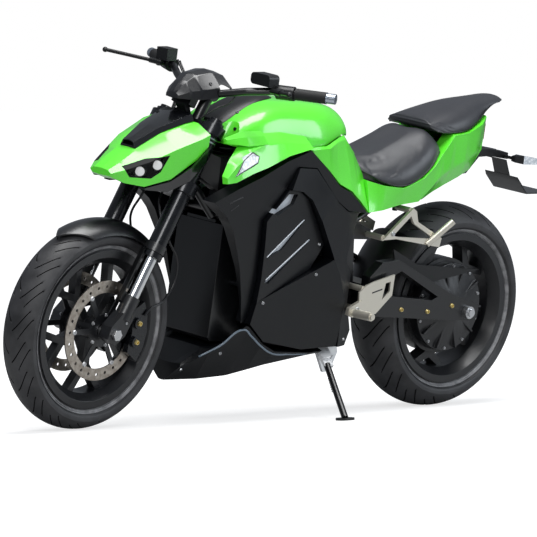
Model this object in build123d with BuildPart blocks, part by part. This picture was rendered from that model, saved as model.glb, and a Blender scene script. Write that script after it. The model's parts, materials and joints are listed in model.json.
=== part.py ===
"""Electric street motorcycle on its side stand, +X forward, +Y the rider's left, +Z up.

Every piece is drawn upright, with the ground at z = 0 and y = 0 the plane of symmetry.
The last section leans the whole machine over onto its side stand. Millimetres, degrees.
"""
from build123d import *
from math import cos, pi, radians, sin, sqrt, tan
import os

os.makedirs("parts", exist_ok=True)

# Stance: how the parked machine leans, and how far its bars are turned.
lean_angle = 8.97
steer_at_rest = 3.3
steer_lock = 26.0

# Clearances between pieces.
seat_gap = 0.3
run_gap = 6.0

# Steering head and fork.
head_x = 454.0
head_z = 720.0
rake = 27.0
head_length = 146.0
head_radius = 34.0
stem_radius = 15.0
fork_offset = 30.0
axle_lead = 14.0
fork_half_spread = 100.0
fork_outer_radius = 27.0
fork_outer_top = 190.0
fork_inner_radius = 20.0
clamp_wall = 10.0
lower_clamp_height = 38.0
upper_clamp_height = 30.0

# Wheels, tyres, discs and axles.
front_tyre_radius = 300.0
front_tyre_half_width = 60.0
rear_tyre_radius = 315.0
rear_tyre_half_width = 90.0
bead_radius = 218.0
flange_radius = 231.0
front_rim_half_width = 51.0
rear_rim_half_width = 77.0
rim_wall = 5.0
spoke_count = 5
axle_radius = 12.0
front_hub_radius = 32.0
front_disc_radius = 146.0
rear_disc_radius = 120.0
disc_thickness = 4.5
disc_ring = 35.0
front_disc_y = 62.0
rear_disc_y = -94.0
motor_radius = 136.0
motor_half_width = 80.0

# Swingarm.
pivot_x = -215.0
pivot_z = 365.0
swingarm_length = 505.0
arm_inner_y = 104.0
arm_outer_y = 138.0
pivot_half_width = 66.0

# Battery case.
case_front_x = 322.0
case_rear_x = -146.0
case_bottom_z = 256.0
case_top_z = 600.0
case_half_width = 95.0

# Wheel guards.
guard_clearance = 12.0
guard_drop = 34.0
guard_wall = 4.0
guard_collar_height = 24.0

# Frame rails.
rail_inner_y = 60.0
rail_outer_y = 95.0
rail_rear_x = -110.0
rail_rear_z = 740.0
rail_front_x = 300.0
rail_front_z = 800.0

# Places that follow from the sizes above.
axle_forward = fork_offset + axle_lead
front_axle_x = head_x + (head_z - front_tyre_radius) * tan(radians(rake)) + axle_forward / cos(radians(rake))
front_axle_z = front_tyre_radius
rear_axle_x = pivot_x - sqrt(swingarm_length**2 - (pivot_z - rear_tyre_radius) ** 2)
rear_axle_z = rear_tyre_radius
lock_ahead = fork_offset * cos(radians(steer_lock)) - fork_half_spread * sin(radians(steer_lock))
lock_y = fork_offset * sin(radians(steer_lock)) + fork_half_spread * cos(radians(steer_lock))
axle_level = (front_axle_z - head_z - axle_forward * sin(radians(rake))) / cos(radians(rake))
fender_inner = front_tyre_radius + guard_clearance
guard_collar_level = axle_level + fender_inner - guard_drop - guard_collar_height / 2
fork_outer_bottom = guard_collar_level - 18
left_side = Plane(origin=(0, 0, 0), x_dir=(1, 0, 0), z_dir=(0, -1, 0))
steer_frame = Plane(
    origin=(head_x, 0, head_z),
    x_dir=(cos(radians(rake)), 0, sin(radians(rake))),
    z_dir=(-sin(radians(rake)), 0, cos(radians(rake))),
)


def outline(plane, points):
    """A flat face with straight sides on a plane, with every corner kept."""
    corners = [plane.from_local_coords((u, v, 0)) for u, v in points]
    return Face(Wire.make_polygon(corners))


def both_halves(half):
    """Close a half outline, given from its top middle to its bottom middle, by mirroring it."""
    return half + [(-y, z) for y, z in reversed(half) if y > 0]


def rib_loft(ribs, mode=Mode.ADD):
    """Skin straight facets over upright ribs; each rib is (x, [(y, z), ...])."""
    loft([outline(Plane.YZ.offset(x), points) for x, points in ribs], ruled=True, mode=mode)


def body_loft(ribs, mode=Mode.ADD):
    """Skin straight facets over symmetric ribs given as half outlines."""
    rib_loft([(x, both_halves(half)) for x, half in ribs], mode)


def crowned_face(x, half):
    """An upright face with a curved crown over a flat base; half runs from its top to its base corner."""
    crown = [(-y, z) for y, z in reversed(half) if y > 0] + half
    with BuildSketch(Plane.YZ.offset(x)) as section:
        with BuildLine():
            Spline(*crown)
            Line(crown[-1], crown[0])
        make_face()
    return section.sketch.face()


def crowned_loft(ribs, mode=Mode.ADD):
    """Skin one smooth body over symmetric curved ribs; each rib is (x, half outline)."""
    loft([crowned_face(x, half) for x, half in ribs], mode=mode)


def side_slab(points, inner_y, outer_y, mode=Mode.ADD):
    """Extrude a side-view outline of (x, z) points from one y to a larger one."""
    extrude(outline(left_side.offset(-inner_y), points), amount=outer_y - inner_y, dir=(0, 1, 0), mode=mode)


def steer_slab(points, inner_y, outer_y, mode=Mode.ADD):
    """Extrude an outline of (ahead, up) points in the steering frame between two y."""
    base = Plane(steer_frame.from_local_coords((0, inner_y, 0)), steer_frame.x_dir, (0, -1, 0))
    extrude(outline(base, points), amount=outer_y - inner_y, dir=(0, 1, 0), mode=mode)


def cut_outside(point, normal):
    """Trim the part by the plane through a point, keeping the side its normal points away from."""
    split(bisect_by=Plane(origin=point, z_dir=normal), keep=Keep.BOTTOM)


def facet(first, second, third):
    """Trim the part by the plane through three outer points, given as (x, y, z)."""
    normal = (Vector(*second) - Vector(*first)).cross(Vector(*third) - Vector(*first))
    cut_outside(first, normal if normal.Y > 0 else -normal)


def rod(start, end, radius, mode=Mode.ADD):
    """A round bar between two points."""
    along = Vector(*end) - Vector(*start)
    plane = Plane(origin=start, z_dir=along)
    with BuildSketch(plane) as section:
        Circle(radius)
    extrude(section.sketch, amount=along.length, mode=mode)


def arc_radii(route):
    """For each corner of a hose's route, the largest arc that its two runs leave room for."""
    radii = []
    for before, corner, after in zip(route, route[1:], route[2:]):
        arriving = Vector(*corner) - Vector(*before)
        leaving = Vector(*after) - Vector(*corner)
        half_turn = radians(arriving.get_angle(leaving)) / 2
        radii.append(0.45 * min(arriving.length, leaving.length) / tan(half_turn))
    return radii


def bent_tube(points, radii, radius):
    """A round tube along straight runs joined by tangent arcs."""
    with BuildLine() as path:
        FilletPolyline(*points, radius=radii)
    with BuildSketch(Plane(origin=path.line @ 0, z_dir=path.line % 0)) as section:
        Circle(radius)
    sweep(section.sketch, path=path.line)


def around(axle_x, axle_z, radius, angle):
    """The (x, z) place at a radius from an axle, its angle counted upward from straight ahead."""
    return axle_x + radius * cos(radians(angle)), axle_z + radius * sin(radians(angle))


def steer_point(ahead, y, up):
    """A place in the steering frame as a point of the machine."""
    return steer_frame.from_local_coords((ahead, y, up))


def wheel_plane(axle_x, axle_z, y=0.0):
    """A plane across a wheel's axle; its normal points to the rider's left."""
    return Plane(origin=(axle_x, y, axle_z), x_dir=(1, 0, 0), z_dir=(0, 1, 0))


# ---------------------------------------------------------------- tyres and wheels


def tyre_profile(radius, half_width, rim_half_width):
    """Half section of a road tyre: round crown, full sidewalls, bead on the rim's seat."""
    shoulder = radius - 0.55 * half_width
    with BuildSketch(Plane.XZ) as section:
        with BuildLine():
            crown = ThreePointArc((-half_width, shoulder), (0, radius), (half_width, shoulder))
            Line(crown @ 1, (half_width - 2, shoulder - 14))
            Line((half_width - 2, shoulder - 14), (rim_half_width - rim_wall - 1, flange_radius + 4))
            Line((rim_half_width - rim_wall - 1, flange_radius + 4), (rim_half_width - rim_wall - 1, bead_radius))
            Line((rim_half_width - rim_wall - 1, bead_radius), (rim_wall + 1 - rim_half_width, bead_radius))
            Line((rim_wall + 1 - rim_half_width, bead_radius), (rim_wall + 1 - rim_half_width, flange_radius + 4))
            Line((rim_wall + 1 - rim_half_width, flange_radius + 4), (2 - half_width, shoulder - 14))
            Line((2 - half_width, shoulder - 14), (-half_width, shoulder))
        make_face()
    return section.sketch


def turned_about_axle(section, axle_x, axle_z):
    """Revolve a section, drawn with the axle along X, and carry it to its axle along Y."""
    turned = revolve(section, axis=Axis.X, mode=Mode.PRIVATE)
    return Pos(axle_x, 0, axle_z) * Rot(0, 0, 90) * turned


with BuildPart() as front_tyre:
    add(turned_about_axle(tyre_profile(front_tyre_radius, front_tyre_half_width, front_rim_half_width),
                          front_axle_x, front_axle_z))
front_tyre.part.label = "front_tyre"

with BuildPart() as rear_tyre:
    add(turned_about_axle(tyre_profile(rear_tyre_radius, rear_tyre_half_width, rear_rim_half_width),
                          rear_axle_x, rear_axle_z))
rear_tyre.part.label = "rear_tyre"


def rim_profile(half_width):
    """Section of a cast rim: two flanges, bead seats and a dropped well."""
    well = bead_radius - 22
    points = [
        (-half_width, flange_radius), (-half_width, bead_radius - 8), (-half_width * 0.55, well - 6),
        (half_width * 0.55, well - 6), (half_width, bead_radius - 8), (half_width, flange_radius),
        (half_width - rim_wall, flange_radius), (half_width - rim_wall, bead_radius - seat_gap),
        (half_width * 0.62, bead_radius - seat_gap), (half_width * 0.5, well),
        (-half_width * 0.5, well), (-half_width * 0.62, bead_radius - seat_gap),
        (rim_wall - half_width, bead_radius - seat_gap), (rim_wall - half_width, flange_radius),
    ]
    return outline(Plane.XZ, points)


def y_spokes(axle_x, axle_z, hub_radius, half_width, half_thickness, fork_radius, turn):
    """Cast spokes that run out from the hub and part in two before the rim."""
    plane = wheel_plane(axle_x, axle_z)
    reach = bead_radius - 24
    root = hub_radius - 4
    spread = 2 * pi / spoke_count * 0.24
    for index in range(spoke_count):
        angle = turn + index * 2 * pi / spoke_count

        def at(radius, swing, side=0.0):
            return (radius * cos(angle + swing) - side * sin(angle), radius * sin(angle + swing) + side * cos(angle))

        for side in (1, -1):
            arm = [
                at(root, 0, -half_width * side), at(fork_radius, 0, -half_width * 0.4 * side),
                at(reach, side * spread - side * 0.06), at(reach, side * spread + side * 0.06),
                at(fork_radius * 0.92, 0, half_width * side), at(root, 0, half_width * side),
            ]
            extrude(outline(plane, arm), amount=half_thickness, both=True)


def disc_face(radius, carrier_radius, hole_count):
    """A drilled brake disc: a friction ring, six carrier arms and the ring bolted to the hub."""
    ring_inner = radius - disc_ring
    Circle(radius)
    Circle(ring_inner, mode=Mode.SUBTRACT)
    with PolarLocations((ring_inner + carrier_radius) / 2, 6):
        Rectangle(ring_inner - carrier_radius + 10, 16)
    Circle(carrier_radius)
    Circle(axle_radius + 8, mode=Mode.SUBTRACT)
    with PolarLocations(radius - disc_ring / 2, hole_count):
        Circle(4.5, mode=Mode.SUBTRACT)


with BuildPart() as front_rim:
    add(turned_about_axle(rim_profile(front_rim_half_width), front_axle_x, front_axle_z))
    y_spokes(front_axle_x, front_axle_z, front_hub_radius, 13, 14, 118, 0.35)
    with BuildSketch(wheel_plane(front_axle_x, front_axle_z)):
        Circle(front_hub_radius)
    extrude(amount=front_disc_y - disc_thickness / 2 - seat_gap, both=True)
    with BuildSketch(wheel_plane(front_axle_x, front_axle_z)):
        Circle(axle_radius + seat_gap)
    extrude(amount=front_disc_y + 2, both=True, mode=Mode.SUBTRACT)
front_rim.part.label = "front_rim"

with BuildPart() as front_discs:
    for side in (1, -1):
        with BuildSketch(wheel_plane(front_axle_x, front_axle_z, side * front_disc_y)):
            Circle(front_disc_radius)
            disc_face(front_disc_radius, front_hub_radius + 16, 24)
        extrude(amount=disc_thickness / 2, both=True)
front_discs.part.label = "front_discs"

with BuildPart() as rear_rim:
    add(turned_about_axle(rim_profile(rear_rim_half_width), rear_axle_x, rear_axle_z))
    y_spokes(rear_axle_x, rear_axle_z, motor_radius + 8, 22, 22, 160, 0.2)
    with BuildSketch(wheel_plane(rear_axle_x, rear_axle_z)):
        Circle(motor_radius + 12)
        Circle(motor_radius + seat_gap, mode=Mode.SUBTRACT)
    extrude(amount=30, both=True)
rear_rim.part.label = "rear_rim"

with BuildPart() as hub_motor:
    with BuildSketch(wheel_plane(rear_axle_x, rear_axle_z)):
        Circle(motor_radius)
    extrude(amount=motor_half_width - 18, both=True)
    for side in (1, -1):
        with BuildSketch(wheel_plane(rear_axle_x, rear_axle_z, side * (motor_half_width - 18))):
            Circle(motor_radius - 18)
        with BuildSketch(wheel_plane(rear_axle_x, rear_axle_z, side * motor_half_width)):
            Circle(48)
        loft()
        with BuildSketch(wheel_plane(rear_axle_x, rear_axle_z, side * (motor_half_width - 18))):
            with PolarLocations((motor_radius + 36) / 2, 10):
                Rectangle(motor_radius - 44, 7)
        extrude(amount=side * 12)
    with BuildSketch(wheel_plane(rear_axle_x, rear_axle_z)):
        Circle(axle_radius + 2 + seat_gap)
    extrude(amount=motor_half_width + 20, both=True, mode=Mode.SUBTRACT)
hub_motor.part.label = "hub_motor"

with BuildPart() as rear_disc:
    with BuildSketch(wheel_plane(rear_axle_x, rear_axle_z, rear_disc_y)):
        disc_face(rear_disc_radius, 46, 20)
    extrude(amount=disc_thickness / 2, both=True)
    with BuildSketch(wheel_plane(rear_axle_x, rear_axle_z, rear_disc_y + disc_thickness / 2)):
        Circle(40)
        Circle(axle_radius + 8, mode=Mode.SUBTRACT)
    extrude(amount=-rear_disc_y - disc_thickness / 2 - motor_half_width - seat_gap)
rear_disc.part.label = "rear_disc"


# ---------------------------------------------------------------- steering


def steer_level(up):
    """A plane square to the steering axis; its x points ahead, its y to the left."""
    return Plane(steer_point(0, 0, up), steer_frame.x_dir, steer_frame.z_dir)


def clamp_outline(up, stem_collar, nose):
    """Plan of a fork clamp: a bridge from the stem's collar out to the two fork collars."""
    collar = fork_outer_radius + clamp_wall
    with BuildSketch(steer_level(up)) as plan:
        Circle(stem_collar)
        with Locations((fork_offset, fork_half_spread), (fork_offset, -fork_half_spread)):
            Circle(collar)
        with BuildLine():
            Polyline((-stem_collar * 0.7, -stem_collar * 0.7), (-stem_collar * 0.7, stem_collar * 0.7),
                     (fork_offset - collar * 0.8, fork_half_spread), (fork_offset + collar * 0.5, fork_half_spread),
                     (nose, 44), (nose, -44),
                     (fork_offset + collar * 0.5, -fork_half_spread), (fork_offset - collar * 0.8, -fork_half_spread),
                     close=True)
        make_face()
        with Locations((fork_offset, fork_half_spread), (fork_offset, -fork_half_spread)):
            Circle(fork_outer_radius + seat_gap, mode=Mode.SUBTRACT)
    return plan.sketch


upper_clamp_base = head_length + 2
with BuildPart() as triple_clamps:
    extrude(clamp_outline(-lower_clamp_height, 34, 46), amount=lower_clamp_height - 2)
    extrude(clamp_outline(upper_clamp_base + 2, 30, 60), amount=upper_clamp_height)
    rod(steer_point(0, 0, -lower_clamp_height), steer_point(0, 0, upper_clamp_base + upper_clamp_height + 12),
        stem_radius)
triple_clamps.part.label = "triple_clamps"

with BuildPart() as fork_tubes:
    for side in (1, -1):
        y = side * fork_half_spread
        rod(steer_point(fork_offset, y, fork_outer_bottom), steer_point(fork_offset, y, fork_outer_top),
            fork_outer_radius)
        rod(steer_point(fork_offset, y, fork_outer_top), steer_point(fork_offset, y, fork_outer_top + 10), 20)
        rod(steer_point(fork_offset, y, fork_outer_bottom), steer_point(fork_offset, y, fork_outer_bottom + 16),
            fork_outer_radius + 3)
fork_tubes.part.label = "fork_tubes"

foot_top = axle_level + 122
foot_inner_y = front_disc_y + 18
with BuildPart() as fork_legs:
    rod(steer_point(fork_offset, fork_half_spread, foot_top - 30),
        steer_point(fork_offset, fork_half_spread, fork_outer_bottom - seat_gap), fork_inner_radius)
    rod(steer_point(fork_offset, fork_half_spread, axle_level + 50),
        steer_point(fork_offset, fork_half_spread, foot_top), fork_inner_radius + 5)
    steer_slab([(fork_offset - 24, axle_level + 66), (fork_offset + 22, axle_level + 66),
                (axle_forward + 28, axle_level + 12), (axle_forward + 22, axle_level - 24),
                (axle_forward - 16, axle_level - 27), (fork_offset - 22, axle_level + 10)],
               foot_inner_y, fork_half_spread + 20)
    side_slab([(front_axle_x - 46, front_axle_z + 92), (front_axle_x - 92, front_axle_z + 78),
               (front_axle_x - 92, front_axle_z + 38), (front_axle_x - 40, front_axle_z + 30)],
              foot_inner_y + 2, fork_half_spread - 4)
    with BuildSketch(wheel_plane(front_axle_x, front_axle_z, foot_inner_y - 5)):
        Circle(axle_radius + seat_gap)
    extrude(amount=80, mode=Mode.SUBTRACT)
    mirror(about=Plane.XZ)
fork_legs.part.label = "fork_legs"

with BuildPart() as front_axle:
    with BuildSketch(wheel_plane(front_axle_x, front_axle_z)):
        Circle(axle_radius)
    extrude(amount=fork_half_spread + 26, both=True)
    for side in (1, -1):
        with BuildSketch(wheel_plane(front_axle_x, front_axle_z, side * (fork_half_spread + 20 + seat_gap))):
            RegularPolygon(17, 6)
        extrude(amount=side * 10)
        with BuildSketch(wheel_plane(front_axle_x, front_axle_z, side * (foot_inner_y - seat_gap))):
            Circle(axle_radius + 5)
        extrude(amount=-side * (foot_inner_y - front_disc_y - disc_thickness / 2 - 2 * seat_gap))
front_axle.part.label = "front_axle"

caliper_half_slot = disc_thickness / 2 + 3
with BuildPart() as front_calipers:
    inner = front_disc_radius - 44
    outer = front_disc_radius + 16
    start = 149
    steps = [start + 16.5 * index for index in range(5)]
    ring = [around(front_axle_x, front_axle_z, outer, angle) for angle in steps]
    ring += [around(front_axle_x, front_axle_z, inner, angle) for angle in reversed(steps)]
    side_slab(ring, front_disc_y - 20, front_disc_y + 24)
    with BuildSketch(wheel_plane(front_axle_x, front_axle_z, front_disc_y)):
        Circle(front_disc_radius + 4)
    extrude(amount=caliper_half_slot, both=True, mode=Mode.SUBTRACT)
    for angle in (170, 196):
        x, z = around(front_axle_x, front_axle_z, front_disc_radius - 24, angle)
        rod((x, front_disc_y + 24, z), (x, front_disc_y + 32, z), 17)
    cut_outside((front_axle_x - 92 - seat_gap, 0, 0), (1, 0, 0))
    mirror(about=Plane.XZ)
front_calipers.part.label = "front_calipers"

with BuildPart() as fork_guards:
    with BuildSketch(steer_level(foot_top + 4)) as shield:
        with Locations((fork_offset, fork_half_spread)):
            Circle(fork_outer_radius + 12)
            Circle(fork_outer_radius + 7, mode=Mode.SUBTRACT)
        with Locations((fork_offset - 30, fork_half_spread)):
            Rectangle(64, 90, mode=Mode.SUBTRACT)
        with Locations((fork_offset, front_disc_y + 10 - 40)):
            Rectangle(120, 80, mode=Mode.SUBTRACT)
    extrude(amount=fork_outer_bottom - foot_top + 10)
    with BuildSketch(steer_level(foot_top - 26)):
        with Locations((fork_offset, fork_half_spread)):
            Circle(fork_outer_radius + 12)
            Circle(fork_inner_radius + 5 + seat_gap, mode=Mode.SUBTRACT)
        with Locations((fork_offset - 30, fork_half_spread)):
            Rectangle(64, 90, mode=Mode.SUBTRACT)
        with Locations((fork_offset, front_disc_y + 10 - 40)):
            Rectangle(120, 80, mode=Mode.SUBTRACT)
    extrude(amount=31)
    mirror(about=Plane.XZ)
fork_guards.part.label = "fork_guards"


def guard_arch(inner_radius, half_width, drop, reach, start):
    """A curved guard over a wheel at the origin, from its start angle behind the top forward."""
    with BuildSketch(Plane.XZ) as band:
        with BuildLine():
            outer_arc = ThreePointArc((-half_width, inner_radius - drop), (0, inner_radius + guard_wall),
                                      (half_width, inner_radius - drop))
            inner_arc = ThreePointArc((half_width - guard_wall, inner_radius - drop - 2), (0, inner_radius),
                                      (guard_wall - half_width, inner_radius - drop - 2))
            Line(outer_arc @ 1, inner_arc @ 0)
            Line(inner_arc @ 1, outer_arc @ 0)
        make_face()
    arch = revolve(band.sketch, axis=Axis.X, revolution_arc=reach, mode=Mode.PRIVATE)
    return Rot(0, start, 0) * Rot(0, 0, 90) * arch


fender_half_width = front_tyre_half_width + 7
with BuildPart() as front_mudguard:
    add(Pos(front_axle_x, 0, front_axle_z) * guard_arch(fender_inner, fender_half_width, guard_drop, 72, -38))
    nose_x, nose_z = around(front_axle_x, front_axle_z, fender_inner + 18, 58)
    heel_x, heel_z = around(front_axle_x, front_axle_z, fender_inner - 5, 125.5)
    for side in (1, -1):
        cut_outside((nose_x, 0, nose_z), (62, side * 90, -40))
        cut_outside((heel_x, side * 50, heel_z), (-60, side * 60, -50))
    for side in (1, -1):
        with BuildSketch(steer_level(guard_collar_level)):
            with Locations((fork_offset, side * fork_half_spread)):
                Circle(fork_outer_radius + 5)
                Rectangle(26, 60, align=(Align.CENTER, Align.MAX if side > 0 else Align.MIN))
            with Locations((fork_offset, side * (fender_half_width - 34))):
                Rectangle(100, 60, mode=Mode.SUBTRACT)
            with Locations((fork_offset, side * fork_half_spread)):
                Circle(fork_outer_radius + seat_gap, mode=Mode.SUBTRACT)
        extrude(amount=guard_collar_height)
front_mudguard.part.label = "front_mudguard"

# Handlebar: the points of its centre line in the steering frame, left side.
bar_radius = 11.0
grip_radius = 17.0
bar_weight_radius = 15.0
bar_weight_length = 24.0
bar_end_y = 350.0
bar_rise = 272.0
bar_route = [(39, 62, bar_rise), (12, 140, bar_rise + 38), (-22, 200, bar_rise + 68), (-82, bar_end_y, bar_rise + 106)]
with BuildPart() as handlebar:
    half = [steer_point(*point) for point in bar_route]
    other = [steer_point(ahead, -y, up) for ahead, y, up in bar_route]
    bent_tube(list(reversed(other)) + half, 45, bar_radius)
    for side in (1, -1):
        rod(steer_point(39, side * 36, upper_clamp_base + 2 + upper_clamp_height),
            steer_point(39, side * 36, bar_rise), 17)
        rod(steer_point(39, side * 20, bar_rise), steer_point(39, side * 56, bar_rise), 24)
handlebar.part.label = "handlebar"

grip_root = Vector(*bar_route[-2])
grip_tip = Vector(*bar_route[-1])
grip_along = (grip_tip - grip_root).normalized()
with BuildPart() as grips:
    for side in (1, -1):
        start = grip_tip - grip_along * 96
        end = grip_tip - grip_along * 2
        rod(steer_point(start.X, side * start.Y, start.Z), steer_point(end.X, side * end.Y, end.Z), grip_radius)
        rod(steer_point(end.X, side * end.Y, end.Z),
            steer_point(*(Vector(grip_tip.X, side * grip_tip.Y, grip_tip.Z)
                          + Vector(grip_along.X, side * grip_along.Y, grip_along.Z) * bar_weight_length)),
            bar_weight_radius)
        rod(steer_point(start.X, side * start.Y, start.Z), steer_point(grip_tip.X, side * grip_tip.Y, grip_tip.Z),
            bar_radius + seat_gap, mode=Mode.SUBTRACT)
grips.part.label = "grips"


def on_bar(distance, side=1):
    """A place on the bar's outer run, by its distance in from the bar's end."""
    spot = grip_tip - grip_along * distance
    return steer_point(spot.X, side * spot.Y, spot.Z)


# Lever tips from the bar's end: both ahead of it, the brake lever's the farther out.
lever_tip = (128, -34, 6)
brake_lever_tip = (168, -40, 8)
lever_ball_radius = 8.0
with BuildPart() as bar_controls:
    for side in (1, -1):
        rod(on_bar(100, side), on_bar(152, side), 21)
        spot = on_bar(126, side)
        knee = on_bar(96, side)
        tip = on_bar(0, side) + Vector(*(lever_tip if side > 0 else brake_lever_tip))
        rod(spot, (spot.X + 46, spot.Y, spot.Z + 4), 11)
        rod((spot.X + 46, spot.Y - side * 14, spot.Z + 4), (knee.X + 66, knee.Y, knee.Z + 4), 8)
        rod((knee.X + 66, knee.Y, knee.Z + 4), tip, 5.5)
        with Locations(tip):
            Sphere(lever_ball_radius)
        rod(on_bar(96, side), on_bar(156, side), bar_radius + seat_gap, mode=Mode.SUBTRACT)
    with Locations((on_bar(126, -1).X + 24, on_bar(126, -1).Y + 10, on_bar(126, -1).Z + 30)):
        Box(42, 44, 36)
    left_box = Location((on_bar(176).X + 18, on_bar(176).Y - 6, on_bar(176).Z + 33), (0, 0, 0))
    with Locations(left_box):
        box = Box(42, 74, 34)
    fillet(box.edges().filter_by(Axis.X), 12)
    post = on_bar(146) + Vector(22, 0, 4)
    rod(post, post + Vector(0, 0, 18), 9)
bar_controls.part.label = "bar_controls"

cowl_wall = 4.0


def hollow_loft(ribs, wall):
    """A shell over symmetric ribs, open below and behind its last rib."""
    inner_ribs = []
    for x, half in ribs:
        width = max(y for y, _ in half)
        top = half[0][1]
        low = half[-1][1]
        inner_ribs.append((x, [(y * (1 - wall / width), low - 1 + (z - low) * (1 - wall / (top - low)))
                               for y, z in half]))
    inner_ribs[0] = (inner_ribs[0][0] - wall, inner_ribs[0][1])
    inner_ribs[-1] = (inner_ribs[-1][0] - 1, inner_ribs[-1][1])
    body_loft(ribs)
    body_loft(inner_ribs, mode=Mode.SUBTRACT)


cowl_ribs = [
    (738, [(0, 762), (28, 760), (42, 752), (34, 744), (0, 742)]),
    (700, [(0, 786), (34, 782), (66, 768), (62, 728), (0, 724)]),
    (640, [(0, 820), (36, 818), (92, 792), (84, 720), (0, 716)]),
    (560, [(0, 868), (46, 866), (118, 832), (108, 744), (0, 738)]),
    (480, [(0, 896), (62, 893), (132, 862), (128, 804), (0, 800)]),
    (447, [(0, 904), (82, 900), (136, 876), (134, 842), (0, 838)]),
]
lamp_plane = Plane(origin=(640, 75, 770), x_dir=(-0.905, 0.4256, 0), z_dir=(0.4256, 0.905, 0))
lamp_outline = [(-69, 4), (0, 30), (72, 44), (50, -5), (22, -25), (-47, -24)]
with BuildPart() as headlamp_cowl:
    hollow_loft(cowl_ribs, cowl_wall)
    for side in (1, -1):
        rod(steer_point(fork_offset, side * fork_half_spread, -60),
            steer_point(fork_offset, side * fork_half_spread, 220), fork_outer_radius + 3, mode=Mode.SUBTRACT)
        with BuildSketch(lamp_plane) as opening:
            with BuildLine():
                Polyline(*lamp_outline, close=True)
            make_face()
            offset(amount=seat_gap, kind=Kind.INTERSECTION)
        through = extrude(opening.sketch, amount=70, both=True, mode=Mode.PRIVATE)
        add(through if side > 0 else mirror(through, about=Plane.XZ, mode=Mode.PRIVATE), mode=Mode.SUBTRACT)
headlamp_cowl.part.label = "headlamp_cowl"

lamp_housing_rear_x = 566.0
with BuildPart() as headlamps:
    body_loft(cowl_ribs)
    extrude(outline(lamp_plane, lamp_outline), amount=44, both=True, mode=Mode.INTERSECT)
    mirror(about=Plane.XZ)
    body_loft([(660, [(0, 786), (40, 784), (52, 745), (0, 742)]),
               (lamp_housing_rear_x, [(0, 808), (60, 806), (70, 762), (0, 760)])])
headlamps.part.label = "headlamps"

with BuildPart() as cowl_trims:
    rib_loft([
        (634, [(60, 715), (82, 715), (82, 710), (60, 710)]),
        (560, [(84, 737), (108, 737), (102, 706), (84, 706)]),
        (504, [(129, 782), (134, 782), (132, 742), (129, 742)]),
        (450, [(134, 838), (138, 838), (137, 798), (134, 798)]),
    ])
    mirror(about=Plane.XZ)
    body_loft([
        (640, [(0, 842), (22, 838), (30, 820.4), (0, 820.4)]),
        (560, [(0, 888), (38, 882), (46, 868.4), (0, 868.4)]),
        (480, [(0, 920), (52, 912), (60, 896.4), (0, 896.4)]),
        (450, [(0, 930), (56, 922), (66, 903.6), (0, 903.6)]),
    ])
    body_loft([
        (644, [(0, 838), (18, 835), (22, 824), (0, 824)]),
        (606, [(0, 850), (16, 848), (20, 846), (0, 846)]),
    ], mode=Mode.SUBTRACT)
cowl_trims.part.label = "cowl_trims"

instrument_half_width = 36.0
with BuildPart() as instrument:
    steer_slab([(68, 205), (96, 205), (98, 268), (80, 275), (68, 268)], -instrument_half_width,
               instrument_half_width)
    steer_slab([(40, upper_clamp_base + 2 + upper_clamp_height + seat_gap),
                (64, upper_clamp_base + 2 + upper_clamp_height + seat_gap), (98, 205), (68, 205)], -18, 18)
    for side in (1, -1):
        rod(steer_point(39, side * 10, bar_rise), steer_point(39, side * 90, bar_rise), 30, mode=Mode.SUBTRACT)
        rod(steer_point(84, side * 30, 240), steer_point(84, side * 58.6, 240), 6)
instrument.part.label = "instrument"

visor_wall = 3.0
with BuildPart() as visor:
    hollow_loft([
        (484, [(0, 978), (14, 976), (24, 970), (24, 962), (0, 960)]),
        (455, [(0, 1012), (22, 1008), (44, 984), (46, 962), (0, 958)]),
        (425, [(0, 1034), (28, 1028), (60, 990), (62, 963), (0, 956)]),
        (365, [(0, 1044), (34, 1038), (76, 1000), (80, 972), (0, 958)]),
        (324, [(0, 1036), (40, 1030), (82, 1000), (86, 980), (0, 968)]),
    ], visor_wall)
    for side in (1, -1):
        rod(steer_point(39, side * 40, bar_rise), steer_point(12, side * 150, bar_rise + 40), 22, mode=Mode.SUBTRACT)
        rod(steer_point(10, side * 40, bar_rise - 30), steer_point(-10, side * 150, bar_rise), 30, mode=Mode.SUBTRACT)
visor.part.label = "visor"

hose_radius = 3.5
hose_start = steer_point(36, 34, -lower_clamp_height - seat_gap)
hose_route = [tuple(hose_start), tuple(steer_point(36, 34, -75)), (530, 64, 612), (500, 78, 552), (456, 82, 500),
              (462, 84, 430), (505, 87, 378), (556, 90.5, 366), (578, 90.5, 344)]
with BuildPart() as brake_hoses:
    bent_tube(hose_route, arc_radii(hose_route), hose_radius)
    mirror(about=Plane.XZ)
print("Brake hose bend radii:", [round(radius) for radius in arc_radii(hose_route)])
brake_hoses.part.label = "brake_hoses"


# ---------------------------------------------------------------- frame and running gear

tail_cavity_front = (-230.0, 92.0)
tail_cavity_middle = (-560.0, 74.0)


def tail_cavity_y(x):
    """Half the width of the hollow under the tail, ahead of its middle."""
    (front_x, front_y), (middle_x, middle_y) = tail_cavity_front, tail_cavity_middle
    return front_y + (x - front_x) * (middle_y - front_y) / (middle_x - front_x)


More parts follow.
